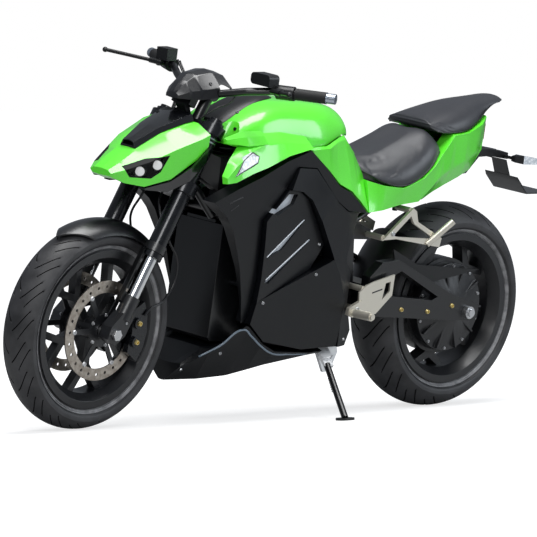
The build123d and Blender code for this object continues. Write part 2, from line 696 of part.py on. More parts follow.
with BuildPart() as main_frame:
    side_slab([(345, 800), (345, 640), (300, 612), (case_rear_x - 4, 612), (case_rear_x - 10, 600),
               (case_rear_x - 10, 250), (-190, 236), (-240, 244), (pivot_x - 38, 330), (pivot_x - 38, 410),
               (-238, 560), (-205, 690), (rail_rear_x, rail_rear_z), (rail_front_x, rail_front_z)],
              rail_inner_y, rail_outer_y)
    side_slab([(285, 770), (285, 655), (-120, 650), (-165, 600), (-170, 470), (-200, 470), (-212, 560),
               (-180, 670), (-100, 705), (200, 770)], rail_inner_y - 1, rail_outer_y + 1, mode=Mode.SUBTRACT)
    rib_loft([
        (345, [(rail_inner_y, 700), (rail_outer_y, 700), (rail_outer_y, 796), (rail_inner_y, 796)]),
        (412, [(2, 760), (34, 760), (34, 830), (2, 830)]),
    ])
    rod((410, 18, 748), (330, 70, 622), 14)
    mirror(about=Plane.XZ)
    rod(steer_point(0, 0, 1), steer_point(0, 0, head_length - 1), head_radius)
    rod(steer_point(0, 0, -5), steer_point(0, 0, head_length + 5), stem_radius + seat_gap, mode=Mode.SUBTRACT)
    for x, z, radius in ((-190, 262, 18), (-185, 640, 18), (300, 640, 16)):
        rod((x, -rail_inner_y - 5, z), (x, rail_inner_y + 5, z), radius)
    for y in (rail_outer_y + 2, -rail_outer_y - 2):
        rod((pivot_x, y, pivot_z), (pivot_x, 0, pivot_z), axle_radius + seat_gap, mode=Mode.SUBTRACT)
    for side in (1, -1):
        bent_tube([(-200, side * 76, 650), (-420, side * 68, 686), (-520, side * 62, 724), (-730, side * 34, 838)],
                  [150, 150], 11)
        bent_tube([(-232, side * 80, 590), (-330, side * 74, 636), (-408, side * 68, 680)], 120, 9)
    for x, y, z in ((-420, tail_cavity_y(-429) - seat_gap, 686), (-640, 46, 789)):
        rod((x, -y, z), (x, y, z), 9)
    for side in (1, -1):
        low, high = sorted((side * rail_inner_y, side * (rail_inner_y + 10)))
        side_slab([(-226, 606), (-232, 540), (-332, 536), (-332, 566)], low, high)
        rod((-424, side * 70, 684), (-424, side * 70, 622), 8)
        low, high = sorted((side * rail_inner_y, side * rail_outer_y))
        side_slab([(-158, 254), (-200, 246), (-200, 214), (-158, 214)], low, high)
main_frame.part.label = "main_frame"

with BuildPart() as battery_case:
    side_slab([(case_front_x, case_bottom_z), (case_front_x - 14, case_top_z), (case_rear_x, case_top_z),
               (case_rear_x, case_bottom_z)], -case_half_width, case_half_width)
    chamfer(battery_case.edges().filter_by(Axis.Z, 5).group_by(Axis.X)[-1], 12)
    with Locations((case_front_x - 60, 0, case_top_z)):
        Box(90, 120, 10, align=(Align.CENTER, Align.CENTER, Align.MIN))
battery_case.part.label = "battery_case"

arm_crest = (pivot_x - 185, pivot_z + 119)
arm_shoulder = (rear_axle_x + 78, rear_axle_z + 59)
arm_heel = (rear_axle_x - 52, rear_axle_z + 21)
with BuildPart() as swingarm:
    rod((pivot_x, -pivot_half_width + 8, pivot_z), (pivot_x, pivot_half_width - 8, pivot_z), 30)
    side_slab([(pivot_x, pivot_z + 29), (pivot_x, pivot_z - 29), (pivot_x - 70, pivot_z - 44),
               (pivot_x - 105, pivot_z - 40), (pivot_x - 105, pivot_z + 42), (pivot_x - 70, pivot_z + 40)],
              -pivot_half_width + 8, pivot_half_width - 8)
    side_slab([(pivot_x - 68, pivot_z - 44), (pivot_x - 116, pivot_z - 48), (pivot_x - 116, pivot_z + 50),
               (pivot_x - 68, pivot_z + 44)], -arm_inner_y - 2, arm_inner_y + 2)
    for side in (1, -1):
        low, high = sorted((side * arm_inner_y, side * arm_outer_y))
        side_slab([(pivot_x - 66, pivot_z + 70), (pivot_x - 66, pivot_z - 46), (pivot_x - 115, pivot_z - 51),
                   (rear_axle_x + 106, rear_axle_z - 21), (rear_axle_x - 44, rear_axle_z - 29), arm_heel,
                   arm_shoulder, arm_crest, (pivot_x - 115, pivot_z + 113)], low, high)
        side_slab([(pivot_x - 103, pivot_z + 43), (pivot_x - 147, pivot_z + 11),
                   (rear_axle_x + 158, rear_axle_z + 41), (rear_axle_x + 134, rear_axle_z + 51),
                   (pivot_x - 199, pivot_z + 85)], low - 1, high + 1, mode=Mode.SUBTRACT)
    rod((rear_axle_x, -200, rear_axle_z), (rear_axle_x, 200, rear_axle_z), axle_radius + seat_gap,
        mode=Mode.SUBTRACT)
    rod((pivot_x, -200, pivot_z), (pivot_x, 200, pivot_z), axle_radius + seat_gap, mode=Mode.SUBTRACT)
    with Locations((pivot_x - 90, 0, pivot_z + 52)):
        Box(30, 60, 34)
        Box(40, 34, 36, mode=Mode.SUBTRACT)
swingarm.part.label = "swingarm"

with BuildPart() as rear_axle:
    rod((rear_axle_x, -arm_outer_y - 24, rear_axle_z), (rear_axle_x, arm_outer_y + 24, rear_axle_z), axle_radius)
    for side in (1, -1):
        rod((rear_axle_x, side * (arm_outer_y + seat_gap), rear_axle_z),
            (rear_axle_x, side * (arm_outer_y + 16), rear_axle_z), 19)
        inner = motor_half_width + 1 if side > 0 else -rear_disc_y + disc_thickness / 2 + 1
        rod((rear_axle_x, side * inner, rear_axle_z), (rear_axle_x, side * (arm_inner_y - seat_gap), rear_axle_z),
            axle_radius + 6)
rear_axle.part.label = "rear_axle"

shock_low = Vector(pivot_x - 90, 0, pivot_z + 58)
shock_high = Vector(-196, 0, 622)
with BuildPart() as rear_shock:
    along = (shock_high - shock_low).normalized()
    rod(shock_low, shock_low + along * 60, 12)
    rod(shock_low + along * 24, shock_low + along * 34, 27)
    rod(shock_low + along * 34, shock_high - along * 48, 24)
    rod(shock_high - along * 48, shock_high - along * 20, 27)
    rod(shock_high - along * 20, shock_high + along * 2.7, 12)
    rod((shock_low.X, -16, shock_low.Z), (shock_low.X, 16, shock_low.Z), 14)
rear_shock.part.label = "rear_shock"


def on_arm(x):
    """The height of the swingarm's upper edge at a place along it."""
    front, back = (arm_crest, arm_shoulder) if x > arm_shoulder[0] else (arm_shoulder, arm_heel)
    return front[1] + (x - front[0]) * (back[1] - front[1]) / (back[0] - front[0])


with BuildPart() as rear_caliper:
    inner = rear_disc_radius - 36
    outer = rear_disc_radius + 16
    steps = [52 + 11 * index for index in range(5)]
    ring = [around(rear_axle_x, rear_axle_z, outer, angle) for angle in steps]
    ring += [around(rear_axle_x, rear_axle_z, inner, angle) for angle in reversed(steps)]
    side_slab(ring, rear_disc_y - 24, rear_disc_y + 16)
    with BuildSketch(wheel_plane(rear_axle_x, rear_axle_z, rear_disc_y)):
        Circle(rear_disc_radius + 4)
    extrude(amount=caliper_half_slot, both=True, mode=Mode.SUBTRACT)
    lug_front_x = arm_shoulder[0] - 10
    lug_rear_x = arm_shoulder[0] - 60
    lug_top = rear_axle_z + 93
    side_slab([(lug_front_x, on_arm(lug_front_x) + seat_gap), (lug_rear_x, on_arm(lug_rear_x) + seat_gap),
               (lug_rear_x, lug_top), (lug_front_x, lug_top)], rear_disc_y - 24, rear_disc_y - 12)
rear_caliper.part.label = "rear_caliper"

hugger_inner = rear_tyre_radius + 10
with BuildPart() as hugger:
    add(Pos(rear_axle_x, 0, rear_axle_z) * guard_arch(hugger_inner, rear_tyre_half_width + 10, 36, 34, 44))
    pin_x = arm_crest[0] - 50
    pin_z = on_arm(pin_x) - 15
    edge_x, edge_z = around(rear_axle_x, rear_axle_z, hugger_inner - 34, 26)
    for side in (1, -1):
        rod((pin_x, side * 92, pin_z), (pin_x, side * (arm_inner_y - seat_gap), pin_z), 6)
        rod((edge_x, side * 95, edge_z), (pin_x, side * 95, pin_z), 4)
    side_slab([around(rear_axle_x, rear_axle_z, hugger_inner + 44, 32),
               around(rear_axle_x, rear_axle_z, hugger_inner - 80, 36),
               (rear_axle_x - 73, rear_axle_z + 122), (rear_axle_x + 146, rear_axle_z + 87),
               (pin_x + 20, pin_z - 6)], 96, arm_inner_y - 1)
hugger.part.label = "hugger"

hanger_y = 153.0
with BuildPart() as footrests:
    side_slab([(-279, 425), (-365, 445), (-362, 382), (-300, 328), (-250, 326), (-226, 350), (-222, 395),
               (-250, 416)], hanger_y, hanger_y + 6)
    side_slab([(-266, 360), (-250, 330), (-196, 322), (-176, 330), (-180, 350), (-230, 372)],
              hanger_y, hanger_y + 12)
    side_slab([(-330, 420), (-350, 424), (-350, 394), (-320, 370)], hanger_y - 1, hanger_y + 7, mode=Mode.SUBTRACT)
    rod((-240, rail_outer_y + seat_gap, 340), (-240, hanger_y + 1, 340), 10)
    rod((-242, rail_outer_y + seat_gap, 404), (-242, hanger_y + 1, 404), 9)
    rod((-196, hanger_y + 10, 336), (-200, 246, 338), 9)
    rod((-197, 176, 336.5), (-200, 240, 338), 13)
    side_slab([(-310, 548), (-426, 642), (-442, 632), (-452, 600), (-562, 548), (-556, 520), (-366, 550)],
              136, 146)
    side_slab([(-352, 561), (-420, 618), (-436, 594), (-530, 546), (-372, 556)], 135, 147, mode=Mode.SUBTRACT)
    rod((-424, 78 + seat_gap, 634), (-424, 137, 634), 9)
    rod((-318, rail_inner_y + 10 + seat_gap, 553), (-318, 137, 553), 9)
    rod((-500, 145, 530), (-572, 176, 604), 10)
    mirror(about=Plane.XZ)
footrests.part.label = "footrests"

# ---------------------------------------------------------------- bodywork


def frame_boss(x, z, outer_y, radius=8.0):
    """A boss from inside a side panel to the frame's or the battery case's outer face."""
    rod((x, case_half_width + seat_gap, z), (x, outer_y, z), radius)


def rail_post(x, base_z, radius=9.0):
    """A post from the tank cover's base down to the frame's upper rail."""
    y = (rail_inner_y + rail_outer_y) / 2
    slope = (rail_front_z - rail_rear_z) / (rail_front_x - rail_rear_x)
    rail_top = rail_rear_z + (x + radius - rail_rear_x) * slope
    rod((x, y, rail_top + seat_gap), (x, y, base_z), radius)
    rod((x, -y, rail_top + seat_gap), (x, -y, base_z), radius)


with BuildPart() as tank_cover:
    crowned_loft([
        (330, [(0, 890), (56, 888), (104, 878), (138, 855), (142, 836)]),
        (263, [(0, 926), (66, 923), (116, 908), (141, 870), (143, 830)]),
        (163, [(0, 956), (66, 953), (116, 930), (140, 880), (143, 825)]),
        (58, [(0, 956), (66, 953), (114, 930), (140, 880), (143, 822)]),
        (-29, [(0, 951), (62, 948), (108, 924), (134, 880), (140, 836)]),
        (-90, [(0, 944), (54, 940), (94, 914), (116, 882), (122, 856)]),
        (-146, [(0, 930), (44, 924), (76, 902), (94, 878), (98, 862)]),
        (-178, [(0, 908), (34, 902), (58, 886), (70, 866), (72, 852)]),
    ])
    body_loft([
        (-100, [(0, 900), (70, 890), (96, 868), (98, 800), (0, 800)]),
        (-150, [(0, 872), (66, 866), (88, 848), (88, 786), (0, 786)]),
        (-178, [(0, 846), (56, 840), (80, 811), (80, 776), (0, 776)]),
        (-208, [(0, 806), (46, 804), (66, 789), (64, 766), (0, 766)]),
    ])
    rail_post(58, 832)
    rail_post(230, 838)
    for side in (1, -1):
        rod(steer_point(lock_ahead, side * lock_y, head_length), steer_point(lock_ahead, side * lock_y, 240),
            fork_outer_radius + clamp_wall + run_gap, mode=Mode.SUBTRACT)
tank_cover.part.label = "tank_cover"

shroud_ribs = [
    (436, [(200, 764), (224, 760), (227, 745), (206, 742)]),
    (400, [(184, 808), (222, 796), (226, 748), (198, 744)]),
    (330, [(152, 858), (204, 832), (220, 772), (176, 758)]),
    (260, [(146, 876), (184, 850), (213, 790), (160, 780)]),
    (173, [(146, 880), (178, 852), (201, 818), (160, 812)]),
    (66, [(146, 866), (172, 848), (188, 836), (160, 832)]),
]
indicator_outline = [(409, 763), (355, 834), (290, 832), (306, 800)]
indicator_depth_y = 202.0
with BuildPart() as shrouds:
    rib_loft(shroud_ribs)
    rib_loft([
        (400, [(156, 866), (166, 862), (166, 852), (156, 850)]),
        (328, [(148, 884), (176, 872), (190, 846), (148, 846)]),
        (250, [(148, 884), (166, 872), (186, 850), (148, 850)]),
    ])
    side_slab(indicator_outline, indicator_depth_y, 240, mode=Mode.SUBTRACT)
    mirror(about=Plane.XZ)
shrouds.part.label = "shrouds"

with BuildPart() as indicators:
    rib_loft(shroud_ribs)
    side_slab([(406, 764.5), (354.5, 832.5), (292, 830.5), (307, 801)], indicator_depth_y + seat_gap, 240,
              mode=Mode.INTERSECT)
    rod((-915, 36.1, 774), (-915, 78, 774), 5)
    rib_loft([
        (-905, [(76, 782), (92, 784), (92, 764), (76, 766)]),
        (-930, [(72, 786), (106, 786), (106, 760), (72, 760)]),
        (-1000, [(78, 776), (108, 776), (108, 758), (78, 758)]),
    ])
    mirror(about=Plane.XZ)
indicators.part.label = "indicators"

with BuildPart() as knee_covers:
    rib_loft([
        (64, [(150, 830.5), (186, 830.5), (184, 826), (150, 826)]),
        (-24, [(150, 836), (168, 832), (176, 766), (152, 766)]),
        (-77, [(134, 852), (142, 846), (171, 726), (142, 724)]),
        (-136, [(104, 862), (116, 848), (165, 703), (136, 700)]),
        (-185, [(90, 822), (102, 812), (158, 670), (128, 668)]),
        (-231, [(98, 747), (108, 741), (151, 634), (120, 632)]),
    ])
    frame_boss(-90, 731, 146, 6)
    mirror(about=Plane.XZ)
knee_covers.part.label = "knee_covers"

panel_inner_y = lock_y + fork_outer_radius + clamp_wall + run_gap
with BuildPart() as side_panels:
    side_slab([(453, 686), (364, 723), (269, 757), (170, 801), (75, 830), (66, 824), (-24, 762), (-77, 720),
               (-136, 697), (-231, 629), (-214, 634), (-142, 642), (-85, 672), (37, 778), (121, 784),
               (154, 720), (234, 626), (222, 542), (214, 452), (218, 376), (226, 318), (244, 318), (262, 392),
               (292, 483), (322, 544), (355, 604), (385, 638)], panel_inner_y, 216)
    facet((453, 200, 686), (75, 192, 833), (-233, 150, 630))
    facet((453, 204, 686), (232, 204, 626), (224, 165, 316))
    for x, z in ((250, 430), (272, 560), (190, 776)):
        frame_boss(x, z, 148, 7)
    mirror(about=Plane.XZ)
side_panels.part.label = "side_panels"

with BuildPart() as spar_covers:
    side_slab([(120, 781), (38, 775), (-84, 669), (-142, 639), (-214, 631), (-161, 500), (-201, 445), (-194, 368),
               (-234, 275), (-206, 232), (-160, 232), (-167, 373), (-127, 453), (-82, 516), (-6, 618),
               (50, 685), (97, 711), (152, 718)], 118, 216)
    facet((121, 197, 782), (-4, 187, 618), (-216, 150, 633))
    facet((-4, 187, 618), (-161, 150, 500), (-165, 150, 373))
    facet((-165, 150, 373), (-161, 150, 500), (-234, 124, 275))
    for x, z in ((-185, 330), (-120, 580)):
        frame_boss(x, z, 119)
    mirror(about=Plane.XZ)
spar_covers.part.label = "spar_covers"

with BuildPart() as vent_panels:
    side_slab([(151, 716), (98, 709), (52, 683), (-3, 617), (-79, 515), (-89, 501), (195, 391), (213, 378),
               (211, 452), (219, 542), (231, 625)], 150, 214)
    facet((98, 186, 711), (232, 196, 626), (196, 170, 391))
    for slot in ([(212, 650), (150, 704), (108, 702), (122, 672), (186, 641)],
                 [(205, 512), (52, 622), (140, 536)], [(192, 443), (12, 560), (176, 436)]):
        side_slab(slot, 140, 220, mode=Mode.SUBTRACT)
    for x, z in ((180, 580), (60, 470)):
        frame_boss(x, z, 151)
    mirror(about=Plane.XZ)
vent_panels.part.label = "vent_panels"

with BuildPart() as lower_panels:
    side_slab([(224, 317), (212, 376), (195, 389), (-91, 499), (-126, 451), (-165, 372), (-158, 233), (-99, 233),
               (-8, 231), (157, 262)], 103, 190)
    facet((224, 165, 316), (-95, 170, 505), (-99, 150, 231))
    for x, z in ((50, 330), (-60, 420)):
        frame_boss(x, z, 104, 12)
    mirror(about=Plane.XZ)
lower_panels.part.label = "lower_panels"

with BuildPart() as belly_pan:
    body_loft([
        (399, [(0, 186), (40, 187), (70, 190), (74, 182), (12, 130), (0, 129)]),
        (330, [(0, 240), (70, 239), (84, 238), (116, 226), (72, 142), (0, 137)]),
        (236, [(0, 254), (98, 254), (120, 262), (162, 312), (94, 152), (0, 147)]),
        (226, [(0, 254), (98, 254), (122, 260), (163, 310), (96, 154), (0, 149)]),
        (160, [(0, 254), (98, 254), (120, 254), (160, 256), (104, 168), (0, 160)]),
        (95, [(0, 252), (97, 252), (101, 242), (150, 228), (106, 180), (0, 172)]),
        (-66, [(0, 252), (96, 252), (99, 224), (136, 216), (116, 204), (0, 196)]),
        (-120, [(0, 250), (92, 250), (98, 228), (130, 218), (118, 210), (0, 204)]),
    ])
belly_pan.part.label = "belly_pan"

tail_ribs = [
    (-233, [(0, 728), (110, 728), (128, 726), (151, 634), (100, 631), (0, 631)]),
    (-290, [(0, 714), (120, 714), (149, 712), (152, 640), (110, 640), (0, 640)]),
    (-368, [(0, 707), (130, 707), (154, 705), (140, 652), (110, 652), (0, 652)]),
    (-454, [(0, 734), (126, 734), (148, 732), (136, 660), (100, 656), (0, 656)]),
    (-507, [(0, 769), (120, 769), (138, 766), (132, 700), (98, 659), (0, 659)]),
    (-548, [(0, 804), (100, 804), (128, 804), (130, 738), (96, 680), (0, 680)]),
    (-600, [(0, 858), (104, 858), (118, 855), (120, 756), (92, 700), (0, 700)]),
    (-668, [(0, 864), (100, 864), (112, 862), (110, 776), (84, 722), (0, 722)]),
    (-740, [(0, 888), (84, 886), (94, 884), (90, 796), (62, 742), (0, 742)]),
    (-786, [(0, 908), (60, 906), (64, 902), (62, 880), (58, 800), (0, 800)]),
]
with BuildPart() as tail_cover:
    body_loft(tail_ribs)
    body_loft([
        (tail_cavity_front[0], [(0, 740), (tail_cavity_front[1], 740), (tail_cavity_front[1], 620), (0, 620)]),
        (tail_cavity_middle[0], [(0, 880), (tail_cavity_middle[1], 880), (tail_cavity_middle[1], 640), (0, 640)]),
        (-742, [(0, 880), (48, 880), (48, 700), (0, 700)]),
    ], mode=Mode.SUBTRACT)
tail_cover.part.label = "tail_cover"

tail_bed_ribs = [(x, [(y, z + seat_gap) for y, z in half]) for x, half in tail_ribs]
with BuildPart() as pillion_seat:
    crowned_loft([
        (-510, [(0, 897), (50, 896), (84, 889), (92, 877)]),
        (-550, [(0, 909), (66, 906), (102, 886), (112, 858)]),
        (-600, [(0, 922), (66, 918), (102, 894), (111, 855)]),
        (-670, [(0, 940), (60, 935), (96, 906), (104, 862)]),
        (-731, [(0, 951), (50, 946), (78, 922), (84, 886)]),
        (-809, [(0, 962), (34, 958), (54, 945), (60, 929)]),
        (-887, [(0, 958), (16, 956.5), (26, 952), (29, 946)]),
    ])
    body_loft(tail_bed_ribs, mode=Mode.SUBTRACT)
pillion_seat.part.label = "pillion_seat"

with BuildPart() as rider_seat:
    crowned_loft([
        (-220, [(0, 798), (28, 796), (50, 788), (60, 768)]),
        (-250, [(0, 790), (58, 787), (100, 768), (122, 738)]),
        (-295, [(0, 790), (74, 788), (122, 766), (144, 716)]),
        (-368, [(0, 812), (80, 810), (130, 782), (150, 700)]),
        (-454, [(0, 846), (80, 844), (126, 808), (142, 728)]),
        (-507, [(0, 868), (72, 866), (114, 834), (132, 764)]),
        (-548, [(0, 842), (66, 840), (104, 828), (118, 800)]),
    ])
    body_loft(tail_bed_ribs, mode=Mode.SUBTRACT)
    add(Pos(seat_gap, 0, -seat_gap) * pillion_seat.part, mode=Mode.SUBTRACT)
rider_seat.part.label = "rider_seat"

with BuildPart() as under_tail:
    body_loft([
        (-500, [(0, 690), (66, 690), (70, 664), (0, 664)]),
        (-560, [(0, 706), (66, 706), (70, 690), (0, 690)]),
        (-700, [(0, 745), (48, 745), (50, 722), (0, 722)]),
        (-741, [(0, 741), (46, 741), (48, 726), (0, 726)]),
        (-786, [(0, 799.5), (52, 799.5), (52, 776), (0, 776)]),
        (-850, [(0, 800), (40, 798), (40, 776), (0, 776)]),
        (-935, [(0, 786), (34, 784), (34, 764), (0, 762)]),
    ])
under_tail.part.label = "under_tail"

with BuildPart() as tail_lamp:
    body_loft([
        (-786 - seat_gap, [(0, 896), (52, 892), (50, 812), (0, 806)]),
        (-812, [(0, 880), (40, 876), (38, 830), (0, 824)]),
    ])
tail_lamp.part.label = "tail_lamp"

plate_bolt_x = -1060.0
plate_bolt_spread = 110.0
plate_bolt_radius = 3.5
with BuildPart() as plate_holder:
    side_slab([(-880, 767), (-931, 758), (-957, 699), (-962, 703), (-936, 761), (-880, 770.5)], -30, 30)
    side_slab([(-950, 714), (-957, 699), (-998, 660), (-1112, 660), (-1112, 664), (-1000, 664.3), (-962, 703)],
              -70, 70)
    for side in (1, -1):
        rod((plate_bolt_x, side * plate_bolt_spread / 2, 650), (plate_bolt_x, side * plate_bolt_spread / 2, 675),
            plate_bolt_radius, mode=Mode.SUBTRACT)
plate_holder.part.label = "plate_holder"

with BuildPart() as tank_console:
    crowned_loft([
        (328, [(0, 900), (44, 897), (62, 888), (64, 872)]),
        (263, [(0, 936), (46, 932), (62, 922), (66, 910)]),
        (163, [(0, 967), (34, 964), (50, 955), (54, 940)]),
        (92, [(0, 962), (14, 960), (20, 955), (22, 945)]),
    ])
    add(Pos(0, 0, seat_gap) * tank_cover.part, mode=Mode.SUBTRACT)
tank_console.part.label = "tank_console"

# ---------------------------------------------------------------- side stand

stand_pivot = Vector(-140, 122, 198)
stand_down = Vector(53, 173, -149).normalized()
stand_back = Vector(-0.9636, 0.2409, 0.1156)
stand_axis = stand_down.cross(stand_back).normalized()
stand_plane = Plane(origin=stand_pivot, x_dir=stand_back, z_dir=stand_axis)
ground_up = Vector(0, -sin(radians(lean_angle)), cos(radians(lean_angle)))
foot_x = -81.0
foot_y = 295.0
foot_sink = 1.1
foot_z = (foot_y * sin(radians(lean_angle)) - foot_sink) / cos(radians(lean_angle))
lug_half = 5.0
with BuildPart() as stand_bracket:
    with BuildSketch(stand_plane.offset(lug_half + 1)):
        Circle(18)
        with Locations((0, 15)):
            Rectangle(36, 30)
    extrude(amount=8)
    side_slab([(-212, 206), (-204, 230), (-132, 230), (-126, 206), (-160, 146), (-188, 150)],
              rail_outer_y + seat_gap, rail_outer_y + 10)
    side_slab([(-196, 196), (-158, 200), (-170, 168)], rail_outer_y, rail_outer_y + 11, mode=Mode.SUBTRACT)
    with BuildSketch(stand_plane.offset(lug_half + 2)):
        Circle(6)
    extrude(amount=-2 * lug_half - 4)
    with BuildSketch(stand_plane.offset(-lug_half - 0.5)):
        Circle(10)
    extrude(amount=-5)
stand_bracket.part.label = "stand_bracket"

with BuildPart() as side_stand:
    with BuildSketch(stand_plane.offset(-lug_half)):
        Circle(16)
        with Locations((0, -20)):
            Rectangle(28, 40)
        Circle(6 + seat_gap, mode=Mode.SUBTRACT)
    extrude(amount=2 * lug_half)
    foot_base = Vector(foot_x, foot_y, foot_z)
    rod(stand_pivot + stand_down * 30, foot_base + ground_up * 6, 10)
    with BuildSketch(Plane(origin=foot_base, x_dir=(1, 0, 0), z_dir=ground_up)):
        SlotOverall(64, 36)
    extrude(amount=7)
side_stand.part.label = "side_stand"


# ---------------------------------------------------------------- stance and export

steering_pieces = [triple_clamps, fork_tubes, fork_legs, front_axle, front_calipers, fork_guards, front_mudguard,
                   handlebar, grips, bar_controls, headlamp_cowl, headlamps, cowl_trims, instrument,
                   visor, brake_hoses, front_tyre, front_rim, front_discs]
other_pieces = [rear_tyre, rear_rim, hub_motor, rear_disc, main_frame, battery_case, swingarm, rear_axle, rear_shock,
                rear_caliper, hugger, footrests, tank_cover, tank_console, shrouds,
                knee_covers, side_panels, spar_covers, vent_panels, lower_panels, belly_pan, rider_seat,
                pillion_seat, tail_cover, under_tail, tail_lamp, plate_holder, indicators,
                stand_bracket, side_stand]
lean = Rot(-lean_angle, 0, 0)
steered = steer_frame.location * Rot(0, 0, steer_at_rest) * steer_frame.location.inverse()
for piece in steering_pieces:
    piece.part.move(lean * steered)
for piece in other_pieces:
    piece.part.move(lean)
boxes = [piece.part.bounding_box() for piece in steering_pieces + other_pieces]
middle_x = (min(box.min.X for box in boxes) + max(box.max.X for box in boxes)) / 2
middle_y = (min(box.min.Y for box in boxes) + max(box.max.Y for box in boxes)) / 2
ground_z = min(box.min.Z for box in boxes)
stance = Pos(-middle_x, -middle_y, -ground_z)
for piece in steering_pieces + other_pieces:
    piece.part.move(stance)
    export_step(piece.part, f"parts/{piece.part.label}.step")
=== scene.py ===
import json
from math import asin, atan2, cos, exp, pi, radians, sin

import bmesh
import bpy
from mathutils import Matrix, Vector
from mathutils.bvhtree import BVHTree


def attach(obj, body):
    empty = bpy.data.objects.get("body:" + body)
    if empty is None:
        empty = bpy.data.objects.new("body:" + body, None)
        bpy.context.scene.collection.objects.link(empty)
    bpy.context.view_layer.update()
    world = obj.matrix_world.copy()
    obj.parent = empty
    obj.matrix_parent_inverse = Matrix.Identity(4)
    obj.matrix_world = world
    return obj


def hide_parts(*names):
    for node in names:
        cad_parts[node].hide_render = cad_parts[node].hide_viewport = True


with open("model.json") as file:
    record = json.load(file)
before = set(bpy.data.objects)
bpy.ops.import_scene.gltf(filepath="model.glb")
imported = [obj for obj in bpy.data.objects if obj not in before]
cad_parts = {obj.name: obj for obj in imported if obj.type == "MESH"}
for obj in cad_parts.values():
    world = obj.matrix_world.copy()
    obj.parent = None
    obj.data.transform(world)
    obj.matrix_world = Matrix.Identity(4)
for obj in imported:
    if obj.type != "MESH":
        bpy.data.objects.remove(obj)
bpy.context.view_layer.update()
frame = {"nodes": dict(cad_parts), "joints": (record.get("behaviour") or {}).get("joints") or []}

scene = bpy.context.scene
joints = {joint["name"]: joint for joint in frame["joints"]}
nodes = frame["nodes"]

# An electric street motorcycle that leans on its side stand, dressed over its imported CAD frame.

# ---------------------------------------------------------------- studio
# A plain pale floor that fades into white, a large soft box overhead, one at the front left and
# a weak one behind, and a camera far off with a long lens, so the machine is seen almost in parallel.


def linear(code, alpha=1.0):
    """An sRGB hex colour as Blender's linear colour."""
    channels = [int(code[i:i + 2], 16) / 255 for i in (0, 2, 4)]
    return [c / 12.92 if c <= 0.04045 else ((c + 0.055) / 1.055) ** 2.4 for c in channels] + [alpha]


def add_node(tree, kind, links=None, **settings):
    """Add a shader node: settings are its properties or unlinked inputs, links its linked inputs."""
    made = tree.nodes.new(kind)
    for name, value in settings.items():
        if hasattr(made, name):
            setattr(made, name, value)
        else:
            made.inputs[name.replace("_", " ")].default_value = value
    for name, source in (links or {}).items():
        tree.links.new(source, made.inputs[name])
    return made


def blank_material(name):
    """A material with nothing in its tree but an output."""
    material = bpy.data.materials.new(name)
    material.use_nodes = True
    material.node_tree.nodes.clear()
    return material, material.node_tree, material.node_tree.nodes.new("ShaderNodeOutputMaterial")


# Matt white paint on board: lit by the lamps, and to the camera and through clear covers it rises to white
# from just outside the machine's shadow outward.
floor_paint, tree, output = blank_material("matt_white_floor_paint")
rays = add_node(tree, "ShaderNodeLightPath")
seen = add_node(tree, "ShaderNodeMath", operation="MAXIMUM",
                links={0: rays.outputs["Is Camera Ray"], 1: rays.outputs["Is Transmission Ray"]})
distance = add_node(tree, "ShaderNodeVectorMath",
                    {0: add_node(tree, "ShaderNodeTexCoord").outputs["Object"]}, operation="LENGTH")
glow = add_node(tree, "ShaderNodeMapRange", {"Value": distance.outputs["Value"]},
                interpolation_type="SMOOTHSTEP", From_Min=0.7, From_Max=2.4, To_Min=0.70, To_Max=1.0)
glowing = add_node(tree, "ShaderNodeEmission", {"Strength": glow.outputs[0]}, Color=linear("FFFFFF"))
nothing = add_node(tree, "ShaderNodeEmission", Color=linear("000000"), Strength=0.0)
shown = add_node(tree, "ShaderNodeMixShader",
                 {0: seen.outputs[0], 1: nothing.outputs[0], 2: glowing.outputs[0]})
matt = add_node(tree, "ShaderNodeBsdfDiffuse", Color=linear("B8B8B8"))
both = add_node(tree, "ShaderNodeAddShader", {0: matt.outputs[0], 1: shown.outputs[0]})
tree.links.new(both.outputs[0], output.inputs["Surface"])

floor_shape = bmesh.new()
bmesh.ops.create_grid(floor_shape, x_segments=1, y_segments=1, size=60)
floor_mesh = bpy.data.meshes.new("floor")
floor_shape.to_mesh(floor_mesh)
floor_shape.free()
floor = bpy.data.objects.new("floor", floor_mesh)
scene.collection.objects.link(floor)
floor_mesh.materials.append(floor_paint)

world = bpy.data.worlds.new("studio_air")
scene.world = world
world.use_nodes = True
world.node_tree.nodes.clear()
air = world.node_tree
rays = add_node(air, "ShaderNodeLightPath")
seen = add_node(air, "ShaderNodeMath", operation="MAXIMUM",
                links={0: rays.outputs["Is Camera Ray"], 1: rays.outputs["Is Transmission Ray"]})
white = add_node(air, "ShaderNodeBackground", Color=linear("FFFFFF"), Strength=1.0)
grey = add_node(air, "ShaderNodeBackground", Color=linear("E8F0FC"), Strength=0.26)
mixed = add_node(air, "ShaderNodeMixShader", {0: seen.outputs[0], 1: grey.outputs[0], 2: white.outputs[0]})
air.links.new(mixed.outputs[0], add_node(air, "ShaderNodeOutputWorld").inputs["Surface"])


def soft_box(name, place, aim, size, power, colour=(1.0, 1.0, 1.0)):
    """A square studio lamp that points at a place."""
    lamp = bpy.data.lights.new(name, "AREA")
    lamp.shape = "RECTANGLE"
    lamp.size, lamp.size_y = size
    lamp.energy = power
    lamp.color = colour
    holder = bpy.data.objects.new(name, lamp)
    scene.collection.objects.link(holder)
    holder.location = place
    holder.rotation_euler = (Vector(aim) - Vector(place)).to_track_quat("-Z", "Y").to_euler()


soft_box("overhead_box", (0.2, 0.5, 3.4), (0, -0.1, 0.5), (3.0, 1.6), 122)
soft_box("front_left_box", (3.0, 2.4, 2.2), (0.2, 0, 0.6), (1.2, 1.6), 52)
soft_box("rear_box", (-3.0, 3.0, 1.7), (-0.2, 0, 0.6), (1.8, 2.2), 60, (0.86, 0.93, 1.0))

